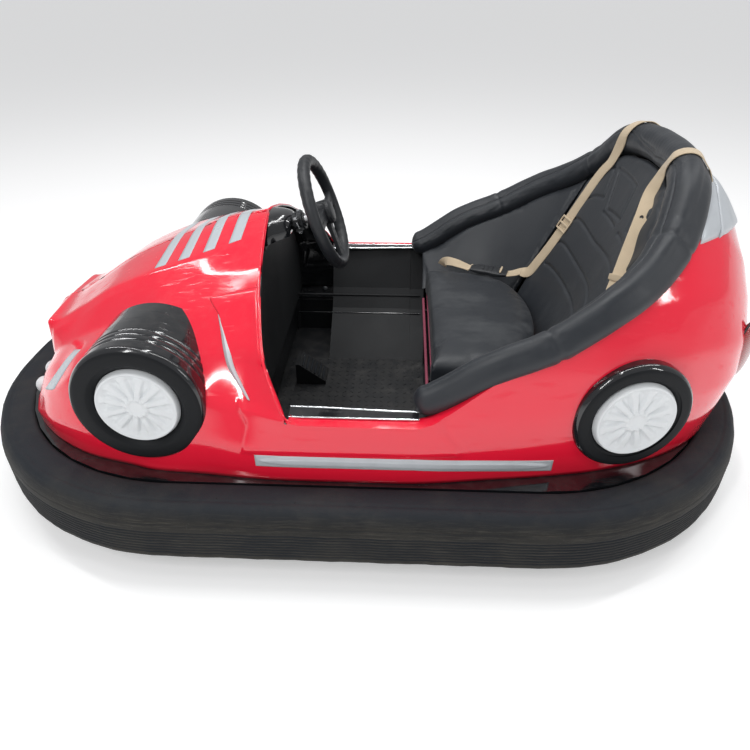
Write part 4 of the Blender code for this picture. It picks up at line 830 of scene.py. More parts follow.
# %% Things laid on the body
PATCH_WALL, CAP_WALL = 0.0014, 0.003
STRIPE_FRONTS, STRIPE_WIDTH, STRIPE_REACH = (0.302, 0.361, 0.4205, 0.4790), 0.0272, 0.93
STRIPE_SWEEP, THIN_LIFT = 0.004, 0.0006
STRIP_REAR, STRIP_KINK, STRIP_FRONT, STRIP_HEIGHT = -0.433, -0.127, 0.2055, 0.032
STRIP_MIDDLE, STRIP_LENS_HALF = -0.1138, 0.3080
BLADE = np.array([(0.296, 0.5193), (0.2801, 0.4998), (0.267, 0.4786), (0.2535, 0.4506), (0.2329, 0.4242),
                  (0.2124, 0.3999)])
BLADE_HALF = (0.0012, 0.0055, 0.0080, 0.0078, 0.0052, 0.0030)
PLATE_LIFT, PLATE_EDGE = 0.0034, 0.004
PLATE_FRONT = np.array([(0.2603, 0.4486), (0.267, 0.4786), (0.283, 0.5008), (0.296, 0.5193), (0.3157, 0.5315),
                        (0.3271, 0.5391)])
LIP = np.array([[(0.6643, 0.4001), (0.6347, 0.4158)], [(0.741, 0.3139), (0.6912, 0.3431)]])
sides = (("left", 1), ("right", -1))


def share_at(x, height):
    """How far over the lines the surface reaches a height, at each place."""
    x, height = spread(x, height)
    dense = np.linspace(0, LAST_LINE, 281)
    levels = np.maximum.accumulate(section_point(x.reshape(-1, 1), dense[None, :])[1], axis=1)
    found = [np.interp(top, row, dense) for top, row in zip(height.ravel(), levels)]
    return np.array(found).reshape(x.shape)


def laid(name, x, t, lift, material, side=1, wall=PATCH_WALL, slot="silver_trim", **rest):
    """A thin skin lifted over the body at each (place, line share), on the left (1) or the right (-1)."""
    x, t, lift, side = spread(x, t, lift, side)
    points = body_point(x, t) + body_normal(x, t) * lift[..., None]
    points = points * np.stack([np.ones_like(side), side, np.ones_like(side)], axis=-1)
    inner = points.reshape(-1, 3).mean(axis=0) * (1, 0.3, 1) - (0, 0, 0.15)
    item = piece(name, points, grid_faces(*x.shape), material, inside=inner, slot=slot, **rest)
    thickness = item.modifiers.new("wall", "SOLIDIFY")
    thickness.thickness, thickness.offset = wall, -1
    return item


def laid_pair(name, *where, **rest):
    """The same skin on the left and on the right."""
    for word, side in sides:
        laid(f"{name}_{word}", *where, side=side, **rest)


def edged(distance, radius):
    """Rises from 0 at an edge to 1 a radius away, as a quarter circle does."""
    share = np.clip(distance / radius, 0, 1)
    return np.sqrt(1 - (1 - share) ** 2)


def between_corners(corners, down, across):
    """The value at a share down and a share across between four corner values."""
    top, low = (row[0] * (1 - across) + row[1] * across for row in corners)
    return top * (1 - down) + low * down


# Stripes across the bonnet, from crease to crease over the crown
across, along = np.linspace(-1, 1, 41)[:, None], np.linspace(0, 1, 5)[None, :]
for number, front in enumerate(STRIPE_FRONTS):
    laid(f"bonnet_stripe_{number + 1}", front - STRIPE_WIDTH * along + STRIPE_SWEEP * np.abs(across),
         LAST_LINE - STRIPE_REACH * np.abs(across), THIN_LIFT, stripe_grey, np.where(across < 0, -1, 1))

# Strips along the sills, each with a long lens raised in its middle
strip_x, strip_rise = np.linspace(STRIP_REAR, STRIP_FRONT, 120)[None, :], np.linspace(0, 1, 13)[:, None]
strip_top = np.interp(strip_x, (STRIP_REAR, STRIP_KINK, STRIP_FRONT), (0.264, 0.2876, 0.287))
strip_lens = (1 - np.abs(2 * strip_rise - 1) ** 2.0 / 0.36
              - np.abs((strip_x - STRIP_MIDDLE) / STRIP_LENS_HALF) ** 10)
laid_pair("sill_strip", strip_x, share_at(strip_x, strip_top - STRIP_HEIGHT * (1 - strip_rise)),
          THIN_LIFT + 0.0030 * np.clip(strip_lens * 3, 0, 1) ** 0.5, silver_paint, smooth_deg=60)

# Blade-shaped silver trims behind the front wheels
run, aside = np.linspace(0, 1, 40)[:, None], np.linspace(-1, 1, 9)[None, :]
blade_x = curve(BLADE[:, 0], run) + aside * curve(BLADE_HALF, run)
blade_lift = 0.0010 + 0.0055 * (1 - np.abs(aside)) * np.sin(math.pi * np.clip(run, 0.06, 0.94)) ** 0.6
laid_pair("silver_blade", blade_x, share_at(blade_x, curve(BLADE[:, 1], run)), blade_lift, silver_paint,
          smooth_deg=25)

# Shoulder plates between the blades and the bonnet's rear edge
plate_u, plate_v = np.linspace(0, 1, 34)[None, :], np.linspace(0, 1, 30)[:, None]
front_x, front_z = (curve(column, plate_v) for column in PLATE_FRONT.T)
back_z = 0.456 + 0.110 * plate_v
back_x = np.interp(back_z, edge_levels[-6:], edge_places[-6:]) + 0.0030
plate_x, plate_z = back_x + (front_x - back_x) * plate_u, back_z + (front_z - back_z) * plate_u
plate_lift = (PLATE_LIFT + 0.0004) * edged((1 - plate_u) * 0.09, PLATE_EDGE) * edged((1 - plate_v) * 0.12, PLATE_EDGE)
plate_lift = plate_lift * ramp(plate_v, 0.0, 0.30) * edged(plate_u * 0.09 + 0.001, PLATE_EDGE) - 0.0004
laid_pair("shoulder_plate", plate_x, share_at(plate_x, plate_z), plate_lift, red, slot="red_gelcoat",
          wall=CAP_WALL, smooth_deg=60)

# Grey strips on the slopes in front of the wheels
down, across = np.linspace(0, 1, 20)[:, None], np.linspace(0, 1, 5)[None, :]
laid_pair("nose_strip", between_corners(LIP[..., 0], down, across),
          between_corners(share_at(LIP[..., 0], LIP[..., 1]), down, across), 0.0007, stripe_grey)

# %% [markdown]
# The bumper is one great tyre bent round the whole car: a dusty top, a round shoulder and a wall with fine ribs.
# Its section is carried round the plan outline, whose corners are arcs about four fixed centres.
# The ribs are a wave in the section, and a slow wobble along the ring keeps the wall from looking machined.

# %% Ring tyre
HALF_LENGTH, HALF_WIDTH, CORNER_RADIUS = 0.975, 0.590, 0.570
TYRE_TOP, TOP_START, TOP_END, TOP_CROWN = 0.215, 0.026, 0.080, 0.0012
RIB_LOW, RIB_HIGH, RIB_PITCH, RIB_DEPTH = 0.086, 0.154, 0.0085, 0.0026


def ring_stations(corner_steps=30, side_steps=40):
    """Centre and outward direction at each station round the car: arcs at the corners, straights between."""
    centres, angles = [], []
    for turn, (along, across) in enumerate(((1, 1), (-1, 1), (-1, -1), (1, -1), (1, 1))):
        centre = np.array([along * (HALF_LENGTH - CORNER_RADIUS), across * (HALF_WIDTH - CORNER_RADIUS), 0.0])
        if turn:
            steps = side_steps if turn % 2 else 3
            share = np.linspace(0, 1, steps + 1)[1:-1, None]
            centres.append(last + (centre - last) * share)
            angles.append(np.full(len(share), math.pi / 2 * turn))
        if turn < 4:
            arc = np.linspace(0, 1, corner_steps + 1)
            centres.append(np.broadcast_to(centre, (len(arc), 3)))
            angles.append(math.pi / 2 * (turn + arc))
        last = centre
    angle = np.concatenate(angles)
    return np.concatenate(centres), np.stack([np.cos(angle), np.sin(angle), 0 * angle], axis=1)


wall_z = np.arange(RIB_LOW, RIB_HIGH, RIB_PITCH / 8)
wall_in = RIB_DEPTH * (0.5 - 0.5 * np.cos(TURN * (wall_z - RIB_LOW) / RIB_PITCH)) ** 3
top_in = np.linspace(TOP_START, TOP_END, 16)
top_z = (TYRE_TOP + TOP_CROWN * np.sin(math.pi * (top_in - TOP_START) / (TOP_END - TOP_START))
         - 0.0016 * np.exp(-((top_in - 0.0335) / 0.0022) ** 2))
tyre_section = np.concatenate([
    [(0.020, 0.0680), (0.0085, 0.0690), (0.0030, 0.0735), (0.0006, 0.0800)],
    np.stack([wall_in, wall_z], axis=1),
    [(0.0, 0.158), (0.0002, 0.168), (0.0006, 0.1725), (0.0016, 0.1742), (0.0012, 0.1765), (0.0022, 0.184),
     (0.0046, 0.1925), (0.0085, 0.2010), (0.0135, 0.2080), (0.0190, 0.2128)],
    np.stack([top_in, top_z], axis=1),
    [(0.0845, 0.2138), (0.0882, 0.2105), (0.0900, 0.2050), (0.0900, 0.0780), (0.0870, 0.0700), (0.0800, 0.0680)],
])
ring_centre, ring_out = ring_stations()
station = np.arange(len(ring_centre))
wobble = 0.0006 * np.sin(station * 0.9) + 0.0005 * np.sin(station * 2.3 + 1.0)
ring_offset = tyre_section[None, :, 0] + wobble[:, None] * ramp(tyre_section[None, :, 0], 0.06, 0.0)
ring_points = ring_centre[:, None] + ring_out[:, None] * (CORNER_RADIUS - ring_offset)[..., None]
ring_points[..., 2] = tyre_section[None, :, 1]
closed_form("ring_tyre", ring_points, tyre_rubber, wrap=True, replaces="bumper_tyre", slot="tyre_rubber",
            smooth_deg=50)
print("tyre section", len(tyre_section), "points,", len(ring_centre), "stations")

# %% [markdown]
# The four road wheels are only for show: glossy black drums moulded into the sides, each with a white spoked disc.
# A drum is a profile spun round its axis, so its shallow tread bands and the bead round the disc are just more points.
# The disc is a height over radius and angle: a bowl, a flat hub, and twelve round-ended spokes added to it.

# %% Dummy wheels
WHEELS = {  # Where: place of the face's middle, radius, depth, turn outwards in degrees, how far the face stands out
    "front": ((0.445, 0.457, 0.388), 0.143, 0.190, 0.0, 0.012),
    "rear": ((-0.585, 0.436, 0.368), 0.129, 0.075, 11.0, 0.006),
}
DISC_RADIUS, SPOKES = 0.089, 12
BAND_PLACES, BAND_DEPTH, BAND_WIDTH = (0.030, 0.049, 0.068), 0.0018, 0.0032
SHOULDER = 0.016


def drum_profile(radius, depth, out):
    """From the back of the tread, over its bands and the round shoulder, to the bead and the middle."""
    along = np.arange(-depth + 0.004, out - SHOULDER, 0.0015)
    grooves = sum(np.exp(-((along + place) / BAND_WIDTH) ** 2) for place in BAND_PLACES)
    tread = np.stack([radius - BAND_DEPTH * grooves, along], axis=1)
    bend = np.linspace(0, math.pi / 2, 9)[1:]
    shoulder = np.stack([radius - SHOULDER + SHOULDER * np.cos(bend), -SHOULDER + SHOULDER * np.sin(bend) + out],
                        axis=1)
    face = [(radius - 0.030, out + 0.0004), (0.1060, out), (0.1030, out - 0.0010), (0.0990, out * 0.55),
            (0.0955, out * 0.2 + 0.0018), (0.0925, 0.0014), (0.0905, -0.0020), (0.088, -0.0030)]
    return np.concatenate([[(radius - 0.006, -depth)], tread, shoulder, face])


def disc_height(radius, angle):
    """The disc's relief: a shallow bowl between hub and rim, plus spokes half a step off the level line."""
    share = radius / DISC_RADIUS
    dip = ramp(share, 0.20, 0.34) * (1 - ramp(share, 0.72, 0.90))
    rim = 0.0022 * np.exp(-((share - 0.93) / 0.035) ** 2) - 0.0100 * ramp(share, 0.945, 1.0) ** 2
    step = TURN / SPOKES
    off = np.abs((angle % step) - step / 2) * radius
    spoke = ramp(0.0045 + 0.0062 * share - off, -0.0030, 0.0030) * ramp(share, 0.14, 0.28)
    spoke = spoke * (1 - ramp(share, 0.76, 0.88)) * (0.75 + 0.25 * np.cos(TURN * (share - 0.5)))
    return 0.0105 - 0.0060 * dip + rim + 0.0066 * spoke


disc_r = DISC_RADIUS * np.concatenate([np.linspace(0.02, 0.90, 40), np.linspace(0.915, 1.0, 9)])[:, None]
disc_angle = np.linspace(0, TURN, 192, endpoint=False)[None, :]
disc_relief = disc_height(disc_r, disc_angle)
upright = np.array([0.0, 0.0, 1.0])
for word, side in sides:
    for where, (place, radius, depth, turn, out) in WHEELS.items():
        centre = np.array(place) * (1, side, 1)
        axis = np.array([-math.sin(math.radians(turn)), side * math.cos(math.radians(turn)), 0.0])
        tyre = turned(f"wheel_{where}_{word}", centre, axis, drum_profile(radius, depth, out), 96, [black, wall_black],
                      replaces=f"dummy_tyre_{where}_{word}", slot="gloss_black", smooth_deg=45)
        faces = np.array([list(face.vertices)[:3] for face in tyre.data.polygons])
        middle = mesh_points(tyre)[faces].mean(axis=1) - centre
        away = middle @ axis
        from_axis = np.linalg.norm(middle - away[:, None] * axis, axis=1)
        flat_face = (away > -0.0012) & (from_axis < radius - SHOULDER * 0.45)
        tyre.data.polygons.foreach_set("material_index", flat_face.astype(np.int32))
        level_way = np.cross(upright, axis)
        spoke = level_way * np.cos(disc_angle)[..., None] + upright * np.sin(disc_angle)[..., None]
        disc = centre + spoke * disc_r[..., None] + axis * disc_relief[..., None]
        disc = np.concatenate([disc, centre + spoke * DISC_RADIUS - axis * 0.002], axis=0)
        closed_form(f"disc_{where}_{word}", disc, white_plastic, replaces=f"wheel_disc_{where}_{word}",
                    slot="white_plastic", smooth_deg=50)
print("disc relief", round(float(disc_relief.min()), 4), "to", round(float(disc_relief.max()), 4))

# %% [markdown]
# The seat is a bucket: a rolled rim on the body's edge, three pads that line the well below it, and a thick cushion.
# In plan the rim is a curve between an ellipse and a rectangle, and it rides as high as the sloping edge makes it.
# Each pad's face is ruled between that rim and the cushion's outline: a turn round the car and a share of the rise.

# %% Seat surfaces
RIM_FRONT, RIM_BACK, RIM_HALF = 0.128, 0.700, 0.425
TUB_FRONT, SEAT_BACK_FOOT, SEAT_HALF = 0.150, 0.455, 0.275
SEAT_FRONT, SEAT_FOOT_LEVEL = 0.170, 0.3009
ROLL = 0.033
TUB_WALL, TUB_SEAM, TUB_INSET_SHARE = 0.022, 0.0006, 0.28


def plan_point(front, back, half_width, turn):
    """Plan curve: along = sin(turn), across = sqrt(1 - along^4) with the sign of cos(turn)."""
    along = np.maximum(np.sin(turn), 0.0)
    across = np.copysign(np.sqrt(np.maximum(1 - along ** 4, 0.0)), np.cos(turn))
    return np.stack([-front - (back - front) * along, half_width * across, 0.0 * along], axis=-1)


def rim_centre(turn):
    """The rim's centre line: each point is as high as a roll of radius R rests on the edge below it."""
    flat = plan_point(RIM_FRONT, RIM_BACK, RIM_HALF, turn)
    ahead = ROLL * np.linspace(-0.9, 0.9, 19)
    flat[..., 2] = (edge_level(flat[..., :1] + ahead) + np.sqrt(ROLL ** 2 - ahead ** 2)).max(axis=-1) + 0.002
    return flat


def rim_frame(turn):
    """The rim's centre, the level direction to the sitter, and the upward one across the roll."""
    turn = np.asarray(turn, dtype=float)
    small = math.radians(1)
    along = unit(rim_centre(np.minimum(turn + small, math.pi)) - rim_centre(np.maximum(turn - small, 0.0)))
    inward = unit(np.stack([-along[..., 1], along[..., 0], 0.0 * turn], axis=-1))
    return rim_centre(turn), inward, np.cross(along, inward)


def tub_point(turn, rise, depth=0.0):
    """A point on the pads' inner face: the foot, plus rise times the way to the rim, plus depth inwards."""
    turn, rise, depth = spread(turn, rise, depth)
    top, inward, raised = rim_frame(turn)
    top = top + inward * (ROLL * TUB_INSET_SHARE + TUB_WALL) - raised * (ROLL + TUB_SEAM)
    foot = plan_point(TUB_FRONT, SEAT_BACK_FOOT + TUB_SEAM, SEAT_HALF + TUB_SEAM, turn)
    foot[..., 2] = SEAT_FOOT_LEVEL
    return foot + (top - foot) * rise[..., None] + inward * depth[..., None]


def finished(item):
    """The object's modifiers made part of its mesh."""
    bpy.context.view_layer.update()
    evaluated = item.evaluated_get(bpy.context.evaluated_depsgraph_get())
    made = bpy.data.meshes.new_from_object(evaluated)
    old = item.data
    item.modifiers.clear()
    item.data = made
    bpy.data.meshes.remove(old)
    made.name = item.name
    made.shade_smooth()


PAD_VOXEL = 0.006
PAD_PRESSURE = 4.0
CLOTH_FRAMES = 20


def stuffed(item, cap, low=None):
    """Blown up as cloth: remeshed evenly, pressed out from inside for 20 frames, and held to a cap from its start.
    Points below the low level are put back on it, because there the pad rests on its board."""
    remesh = item.modifiers.new("even", "REMESH")
    remesh.mode = "VOXEL"
    remesh.voxel_size = PAD_VOXEL
    finished(item)
    blown(item, cap, low)
    smoother = item.modifiers.new("finer", "SUBSURF")
    smoother.levels = smoother.render_levels = 1
    finished(item)
    return item


def blown(item, cap, low):
    """The cloth run itself: pressure from inside, no gravity, and no point moves further than the cap."""
    start = mesh_points(item)
    cloth = item.modifiers.new("cloth", "CLOTH")
    cloth.settings.use_pressure = True
    cloth.settings.uniform_pressure_force = PAD_PRESSURE
    cloth.settings.effector_weights.gravity = 0
    cloth.settings.quality = 4
    cloth.point_cache.frame_start, cloth.point_cache.frame_end = 1, CLOTH_FRAMES
    for frame in range(1, CLOTH_FRAMES + 1):
        bpy.context.scene.frame_set(frame)
    finished(item)
    bpy.context.scene.frame_set(1)
    moved = mesh_points(item) - start
    length = np.linalg.norm(moved, axis=1, keepdims=True)
    points = start + moved * np.minimum(1.0, cap / np.maximum(length, 1e-9))
    if low is not None:
        points[:, 2] = np.maximum(points[:, 2], low)
    item.data.vertices.foreach_set("co", points.ravel())


def pressed(item, lines, width=0.0042, depth=0.0052):
    """Sewn channels: each point sinks by depth * exp(-(d / width)^2), where d is its distance to the line."""
    points = mesh_points(item)
    normals = np.zeros(len(points) * 3)
    item.data.vertices.foreach_get("normal", normals)
    sink = np.zeros(len(points))
    for line in lines:
        line = np.asarray(line, dtype=float)
        near = np.flatnonzero(((points > line.min(axis=0) - 0.02) & (points < line.max(axis=0) + 0.02)).all(axis=1))
        start, way = line[:-1], np.diff(line, axis=0)
        offset = points[near, None] - start
        share = np.clip((offset * way).sum(-1) / np.maximum((way * way).sum(-1), 1e-12), 0, 1)
        distance = np.linalg.norm(offset - way * share[..., None], axis=-1).min(axis=1)
        sink[near] = np.maximum(sink[near], np.exp(-(distance / width) ** 2))
    points -= normals.reshape(-1, 3) * (depth * sink)[:, None]
    item.data.vertices.foreach_set("co", points.ravel())
    item.data.update()
    return item


print("rim centre at the back", rim_centre(np.array([math.pi / 2])).round(3).tolist())

# %% [markdown]
# The cushion is foam cut to the seat's outline and covered in vinyl: crowned on top, flat on its board.
# Its outline shrinks towards the top and bottom, which gives the round edges the cloth then swells from.
# A piped seam runs round it just below the top, so a line is pressed in after the cloth is done.

# %% Cushion
CUSHION_STEPS = 120
cushion_turn = np.linspace(0.02, math.pi - 0.02, CUSHION_STEPS)
cushion_plan = plan_point(TUB_FRONT, SEAT_BACK_FOOT, SEAT_HALF, cushion_turn)
cushion_plan[:, 0] = np.minimum(cushion_plan[:, 0], -SEAT_FRONT)
front_edge = np.linspace(-1, 1, 40)[1:-1]
front_row = np.stack([np.full(38, -SEAT_FRONT), front_edge * cushion_plan[0, 1], 0 * front_edge], axis=1)
cushion_loop = np.concatenate([cushion_plan, front_row])
cushion_middle = np.array([-0.300, 0.0, 0.0])
cushion_levels = ((0.86, 0.3015), (0.965, 0.3020), (0.985, 0.310), (0.988, 0.340), (0.985, 0.362), (0.972, 0.373),
                  (0.940, 0.379), (0.850, 0.3825), (0.60, 0.3865), (0.30, 0.3885))
cushion_rings = np.stack([cushion_middle + (cushion_loop - cushion_middle) * share + (0, 0, height)
                          for share, height in cushion_levels])
cushion = closed_form("cushion", cushion_rings, cushion_vinyl, replaces="seat_cushion", slot="black_vinyl",
                      smooth_deg=180)
stuffed(cushion, 0.006, low=SEAT_FOOT_LEVEL + 0.0003)
cushion.data.materials.clear()
cushion.data.materials.append(cushion_vinyl)
cushion_line = cushion_middle + (cushion_loop - cushion_middle) * 0.985 + (0, 0, 0.366)
pressed(cushion, [np.concatenate([cushion_line, cushion_line[:1]])], 0.003, 0.0022)
print("cushion", len(cushion.data.polygons), "faces")

# %% [markdown]
# The back and the two side pads are thin quilts over plywood, sewn together at upright seams.
# The back has three channels across its lower half and three slanted panels above them.
# The lines are given as places on the pad's face, and are pressed in after the cloth has swollen.

# %% Back and side pads
PAD_THICKNESS, PAD_SINK = 0.017, 0.003
BACK_TURNS, PAD_GAP = (58.0, 122.0), 0.3
PANEL_SHIFTS = ((0.0, 0.0), (-19.0, 0.02), (15.5, 0.03))


def pad(name, start, end, cap, replaced):
    """A closed pad between two turns: its face is the tub's, pulled back a little, and its back 17 mm behind."""
    turn = np.radians(np.linspace(start, end, 40))[:, None]
    rise = np.concatenate([np.linspace(0.004, 1.0, 26), np.linspace(1.0, 0.004, 26)])[None, :]
    depth = np.concatenate([np.full(26, -PAD_SINK), np.full(26, -PAD_SINK - PAD_THICKNESS)])[None, :]
    item = closed_form(name, tub_point(turn, rise, depth), seat_vinyl, replaces=replaced, slot="black_vinyl",
                       smooth_deg=180)
    stuffed(item, cap)
    item.data.materials.clear()
    item.data.materials.append(seat_vinyl)
    return item


def sewn(*places, steps=16):
    """A sewn line on the pads' face through places given as (turn in degrees, rise)."""
    places = np.asarray(places, dtype=float)
    knots = np.arange(len(places))
    spots = through(knots, places, np.linspace(0, knots[-1], steps * knots[-1] + 1))
    return tub_point(np.radians(spots[:, 0]), spots[:, 1], 0.001)


back = pad("back_pad", BACK_TURNS[0] + PAD_GAP, BACK_TURNS[1] - PAD_GAP, 0.0055, "seat_back")
channels = [sewn(*places) for places in (
    ((116, 0.65), (109.5, 0.63), (92, 0.58), (66, 0.65), (62, 0.67)),
    ((116, 0.50), (109.5, 0.48), (92, 0.44), (62, 0.48)),
    ((113, 0.345), (104, 0.33), (90, 0.32), (63, 0.36)), ((82.5, 0.70), (62, 0.74)), ((98, 0.71), (87.5, 0.70)))]
panel = np.array([(103.5, 0.92), (90.5, 0.89), (87, 0.74), (97.5, 0.73), (103.5, 0.92)])
for shift, rise in PANEL_SHIFTS:
    for start, end in zip(panel, panel[1:]):
        channels.append(sewn(start + (shift, rise), end + (shift, rise)))
pressed(back, channels)
side_left = pad("side_pad_left", 2.0, BACK_TURNS[0] - PAD_GAP, 0.004, "seat_side_left")
side_right = pad("side_pad_right", BACK_TURNS[1] + PAD_GAP, 178.0, 0.004, "seat_side_right")
print("pads", [len(item.data.polygons) for item in (back, side_left, side_right)])

# %% [markdown]
# The rolled rim is one long stuffed tube in the same vinyl, wrapped over the body's edge.
# Its section isn't round: it hangs over outside and is drawn flat inside, where a seam holds the lining.
# Radius is a function of the angle round the roll and the turn round the car, with small puckers at the seams.

# %% Rolled rim
ROLL_ROWS, ROLL_COLUMNS = 380, 88
SEAM_TURNS = (59.0, 121.0, 28.0, 152.0)


def hump(angle, centre, width):
    """1 at the centre angle, falling to 0 at so many degrees to either side."""
    away = np.abs((angle - centre + 180) % 360 - 180)
    return np.where(away < width, np.cos(np.clip(away / width, 0, 1) * math.pi / 2) ** 2, 0.0)


def seam_angle(turn):
    """Where the inner seam lies round the roll, in degrees: low behind the sitter and higher at the sides."""
    return np.interp(np.abs(turn - 90), (0, 8, 16, 32, 50, 90), (-25, -12, 30, 58, 50, 35))


def roll_radius(turn, angle):
    """The roll's radius at a turn round the car and an angle round the roll, both in degrees."""
    away = np.abs(turn - 90)
    hang = np.interp(away, (0, 15, 28, 40, 55, 90), (0.022, 0.028, 0.031, 0.020, 0.013, 0.010))
    drawn = np.interp(away, (0, 14, 30, 90), (0.0, 0.002, 0.009, 0.010))
    cover = np.interp(away, (0, 20, 34, 90), (0.0085, 0.0090, 0.0085, 0.0080))
    radius = ROLL + hang * hump(angle, 225, 75) - drawn * hump(angle, 55, 70) + cover * hump(angle, 308, 58)
    pucker = 0.0004 * np.sin(turn * 0.9 + 0.03 * angle) + 0.00015 * np.sin(turn * 4.3 - 0.05 * angle + 1.0)
    radius = radius + pucker * (0.4 + hump(angle, 20, 120))
    line = seam_angle(turn)
    radius = radius - 0.0026 * np.exp(-(((angle - line + 180) % 360 - 180) / 5.0) ** 2)
    double = np.exp(-((turn - 90) / 20) ** 4) * 0.0016
    radius = radius - double * np.exp(-(((angle - line - 16 + 180) % 360 - 180) / 4.0) ** 2)
    for seam in SEAM_TURNS:
        radius = radius - 0.0028 * np.exp(-((turn - seam) / 0.42) ** 2)
        gather = 0.0010 * np.exp(-((np.abs(turn - seam) - 1.6) / 1.0) ** 2)
        radius = radius + gather * np.sin(np.radians(angle * 5)) ** 2
    return radius


def roll_frame(turn):
    """The roll's own centre line: a little lower than the rim's at the sides, a little higher at the rear corners."""
    centre, inward, raised = rim_frame(np.radians(turn))
    away = np.abs(np.asarray(turn) - 90)
    lift = np.interp(away, (0, 12, 26, 42, 60, 90), (0.0, 0.003, 0.007, -0.004, -0.008, -0.008))
    centre = centre + lift[..., None] * (0, 0, 1.0)
    return centre, inward, raised


def roll_point(turn, angle, lift=0.0):
    """A point on the roll, lifted off its skin."""
    turn, angle, lift = spread(turn, angle, lift)
    centre, inward, raised = roll_frame(turn)
    around = inward * np.cos(np.radians(angle))[..., None] + raised * np.sin(np.radians(angle))[..., None]
    return centre + around * (roll_radius(turn, angle) + lift)[..., None]


dense_turn = np.linspace(0, 180, 2001)
dense_run = run_along(rim_centre(np.radians(dense_turn)))
even_run = np.linspace(0, dense_run[-1], ROLL_ROWS)
row_turn = np.interp(even_run, dense_run, dense_turn)
roll_angle = np.linspace(0, 360, ROLL_COLUMNS, endpoint=False)
end_run = np.minimum(even_run, dense_run[-1] - even_run)
end_share = np.sqrt(np.clip(1 - (1 - np.clip(end_run / 0.030, 0, 1)) ** 2, 0.0009, 1))
roll_centre = roll_frame(row_turn)[0]
skin_points = roll_point(row_turn[:, None], roll_angle[None, :])
skin_points = roll_centre[:, None] + (skin_points - roll_centre[:, None]) * end_share[:, None, None]
roll = closed_form("rolled_rim", skin_points, seat_vinyl, replaces="seat_bolster", slot="black_vinyl", smooth_deg=180)
print("rolled rim", round(float(dense_run[-1]), 2), "m long")

# %% [markdown]
# Two webbing straps come over the top of the seat. The near one hangs straight down the back pad.
# The far one runs through a slide, lies along the pads to the cushion, and ends in the buckle.
# A strap is a thin rectangle carried along a path; its flat side is turned to face out from what it lies on.

# %% Harness straps
STRAP_WIDTH, STRAP_THICKNESS, STRAP_LIFT = 0.030, 0.0022, 0.0030


def band(name, path, outward, width=STRAP_WIDTH, steps=160, replaces=None):
    """A flat band along smooth curves through the path's points; its face looks along the outward directions."""
    run = run_along(path)
    places = np.linspace(0, run[-1], steps)
    line, out = through(run, path, places), through(run, outward, places)
    for _ in range(3):
        line[1:-1] = (line[:-2] + 2 * line[1:-1] + line[2:]) / 4
        out[1:-1] = (out[:-2] + 2 * out[1:-1] + out[2:]) / 4
    along = unit(np.gradient(line, axis=0))
    across = unit(np.cross(along, out))
    section = plate_outline(width / 2, STRAP_THICKNESS / 2, STRAP_THICKNESS * 0.45, 2)
    return swept(name, line, across, np.cross(across, along), section, strap_cloth, metres=True, replaces=replaces,
                 slot="strap_webbing", smooth_deg=50)


def on_roll(turn, angles):
    """Points and outward directions over the roll at one turn."""
    turn, angles = spread(turn, angles)
    spots = roll_point(turn, angles, STRAP_LIFT)
    return spots, unit(spots - roll_frame(turn)[0])


def on_tub(turns, rises, lift):
    """Points and outward directions down the pads."""
    turns = np.radians(turns)
    return tub_point(turns, rises, lift), unit(rim_frame(turns)[1] * 2 + (0, 0, 1))


near_over = on_roll(np.linspace(76.5, 78.0, 9), np.linspace(200, 35, 9))
near_hang = np.array([(-0.650, 0.1035, 0.774), (-0.640, 0.1050, 0.746), (-0.612, 0.152, 0.695), (-0.594, 0.182, 0.661),
                      (-0.580, 0.206, 0.636), (-0.558, 0.244, 0.594), (-0.544, 0.267, 0.569), (-0.534, 0.284, 0.551)])
near_turned = unit(np.array([(0.80, 0.15, 0.55), (0.70, 0.45, 0.50), (0.50, 0.75, 0.45)] + [(0.45, 0.80, 0.40)] * 5))
near_strap = band("near_strap", np.concatenate([near_over[0], near_hang]), np.concatenate([near_over[1], near_turned]),
                  replaces="harness_strap_left")
far_over = on_roll(np.linspace(101.5, 107.5, 9), np.linspace(200, -18, 9))
far_down = on_tub((109.5, 112.0, 113.6, 114.6, 115.5, 116.5, 118.0, 120.3),
                  (0.965, 0.92, 0.86, 0.76, 0.62, 0.50, 0.38, 0.285), 0.0100)
far_low = np.array([(-0.441, -0.2125, 0.4010), (-0.420, -0.2075, 0.3970), (-0.398, -0.2035, 0.3970)])
far_low_out = unit(np.array([(0.35, 0.2, 1.0), (0.05, 0.1, 1.0), (0.0, 0.1, 1.0)]))
far_strap = band("far_strap", np.concatenate([far_over[0], far_down[0], far_low]),
                 np.concatenate([far_over[1], far_down[1], far_low_out]), replaces="harness_strap_right")
tail = np.array([(-0.300, -0.238, 0.3975), (-0.285, -0.246, 0.4010), (-0.262, -0.262, 0.4030),
                 (-0.240, -0.285, 0.3990), (-0.228, -0.300, 0.3900), (-0.222, -0.309, 0.3760)])
tail_out = unit(np.array([(0, 0.1, 1), (0.1, 0.2, 1), (0.1, 0.5, 1), (0.1, 1, 1), (0.1, 1, 0.6), (0, 1, 0.4)]))
band("tail_strap", tail, tail_out, width=0.028, steps=60)
print("straps", [round(float(item.dimensions.length), 2) for item in (near_strap, far_strap)])

# %% [markdown]
# The harness fittings are small: a webbing slide, a loop at the tail, a keeper, and a long black plastic buckle.
# Each is a rounded rectangle swept along a short path, with a waist or a rib where the real moulding has one.
# They lie on the straps, so their directions are taken from the straps' own paths.

# %% Harness fittings


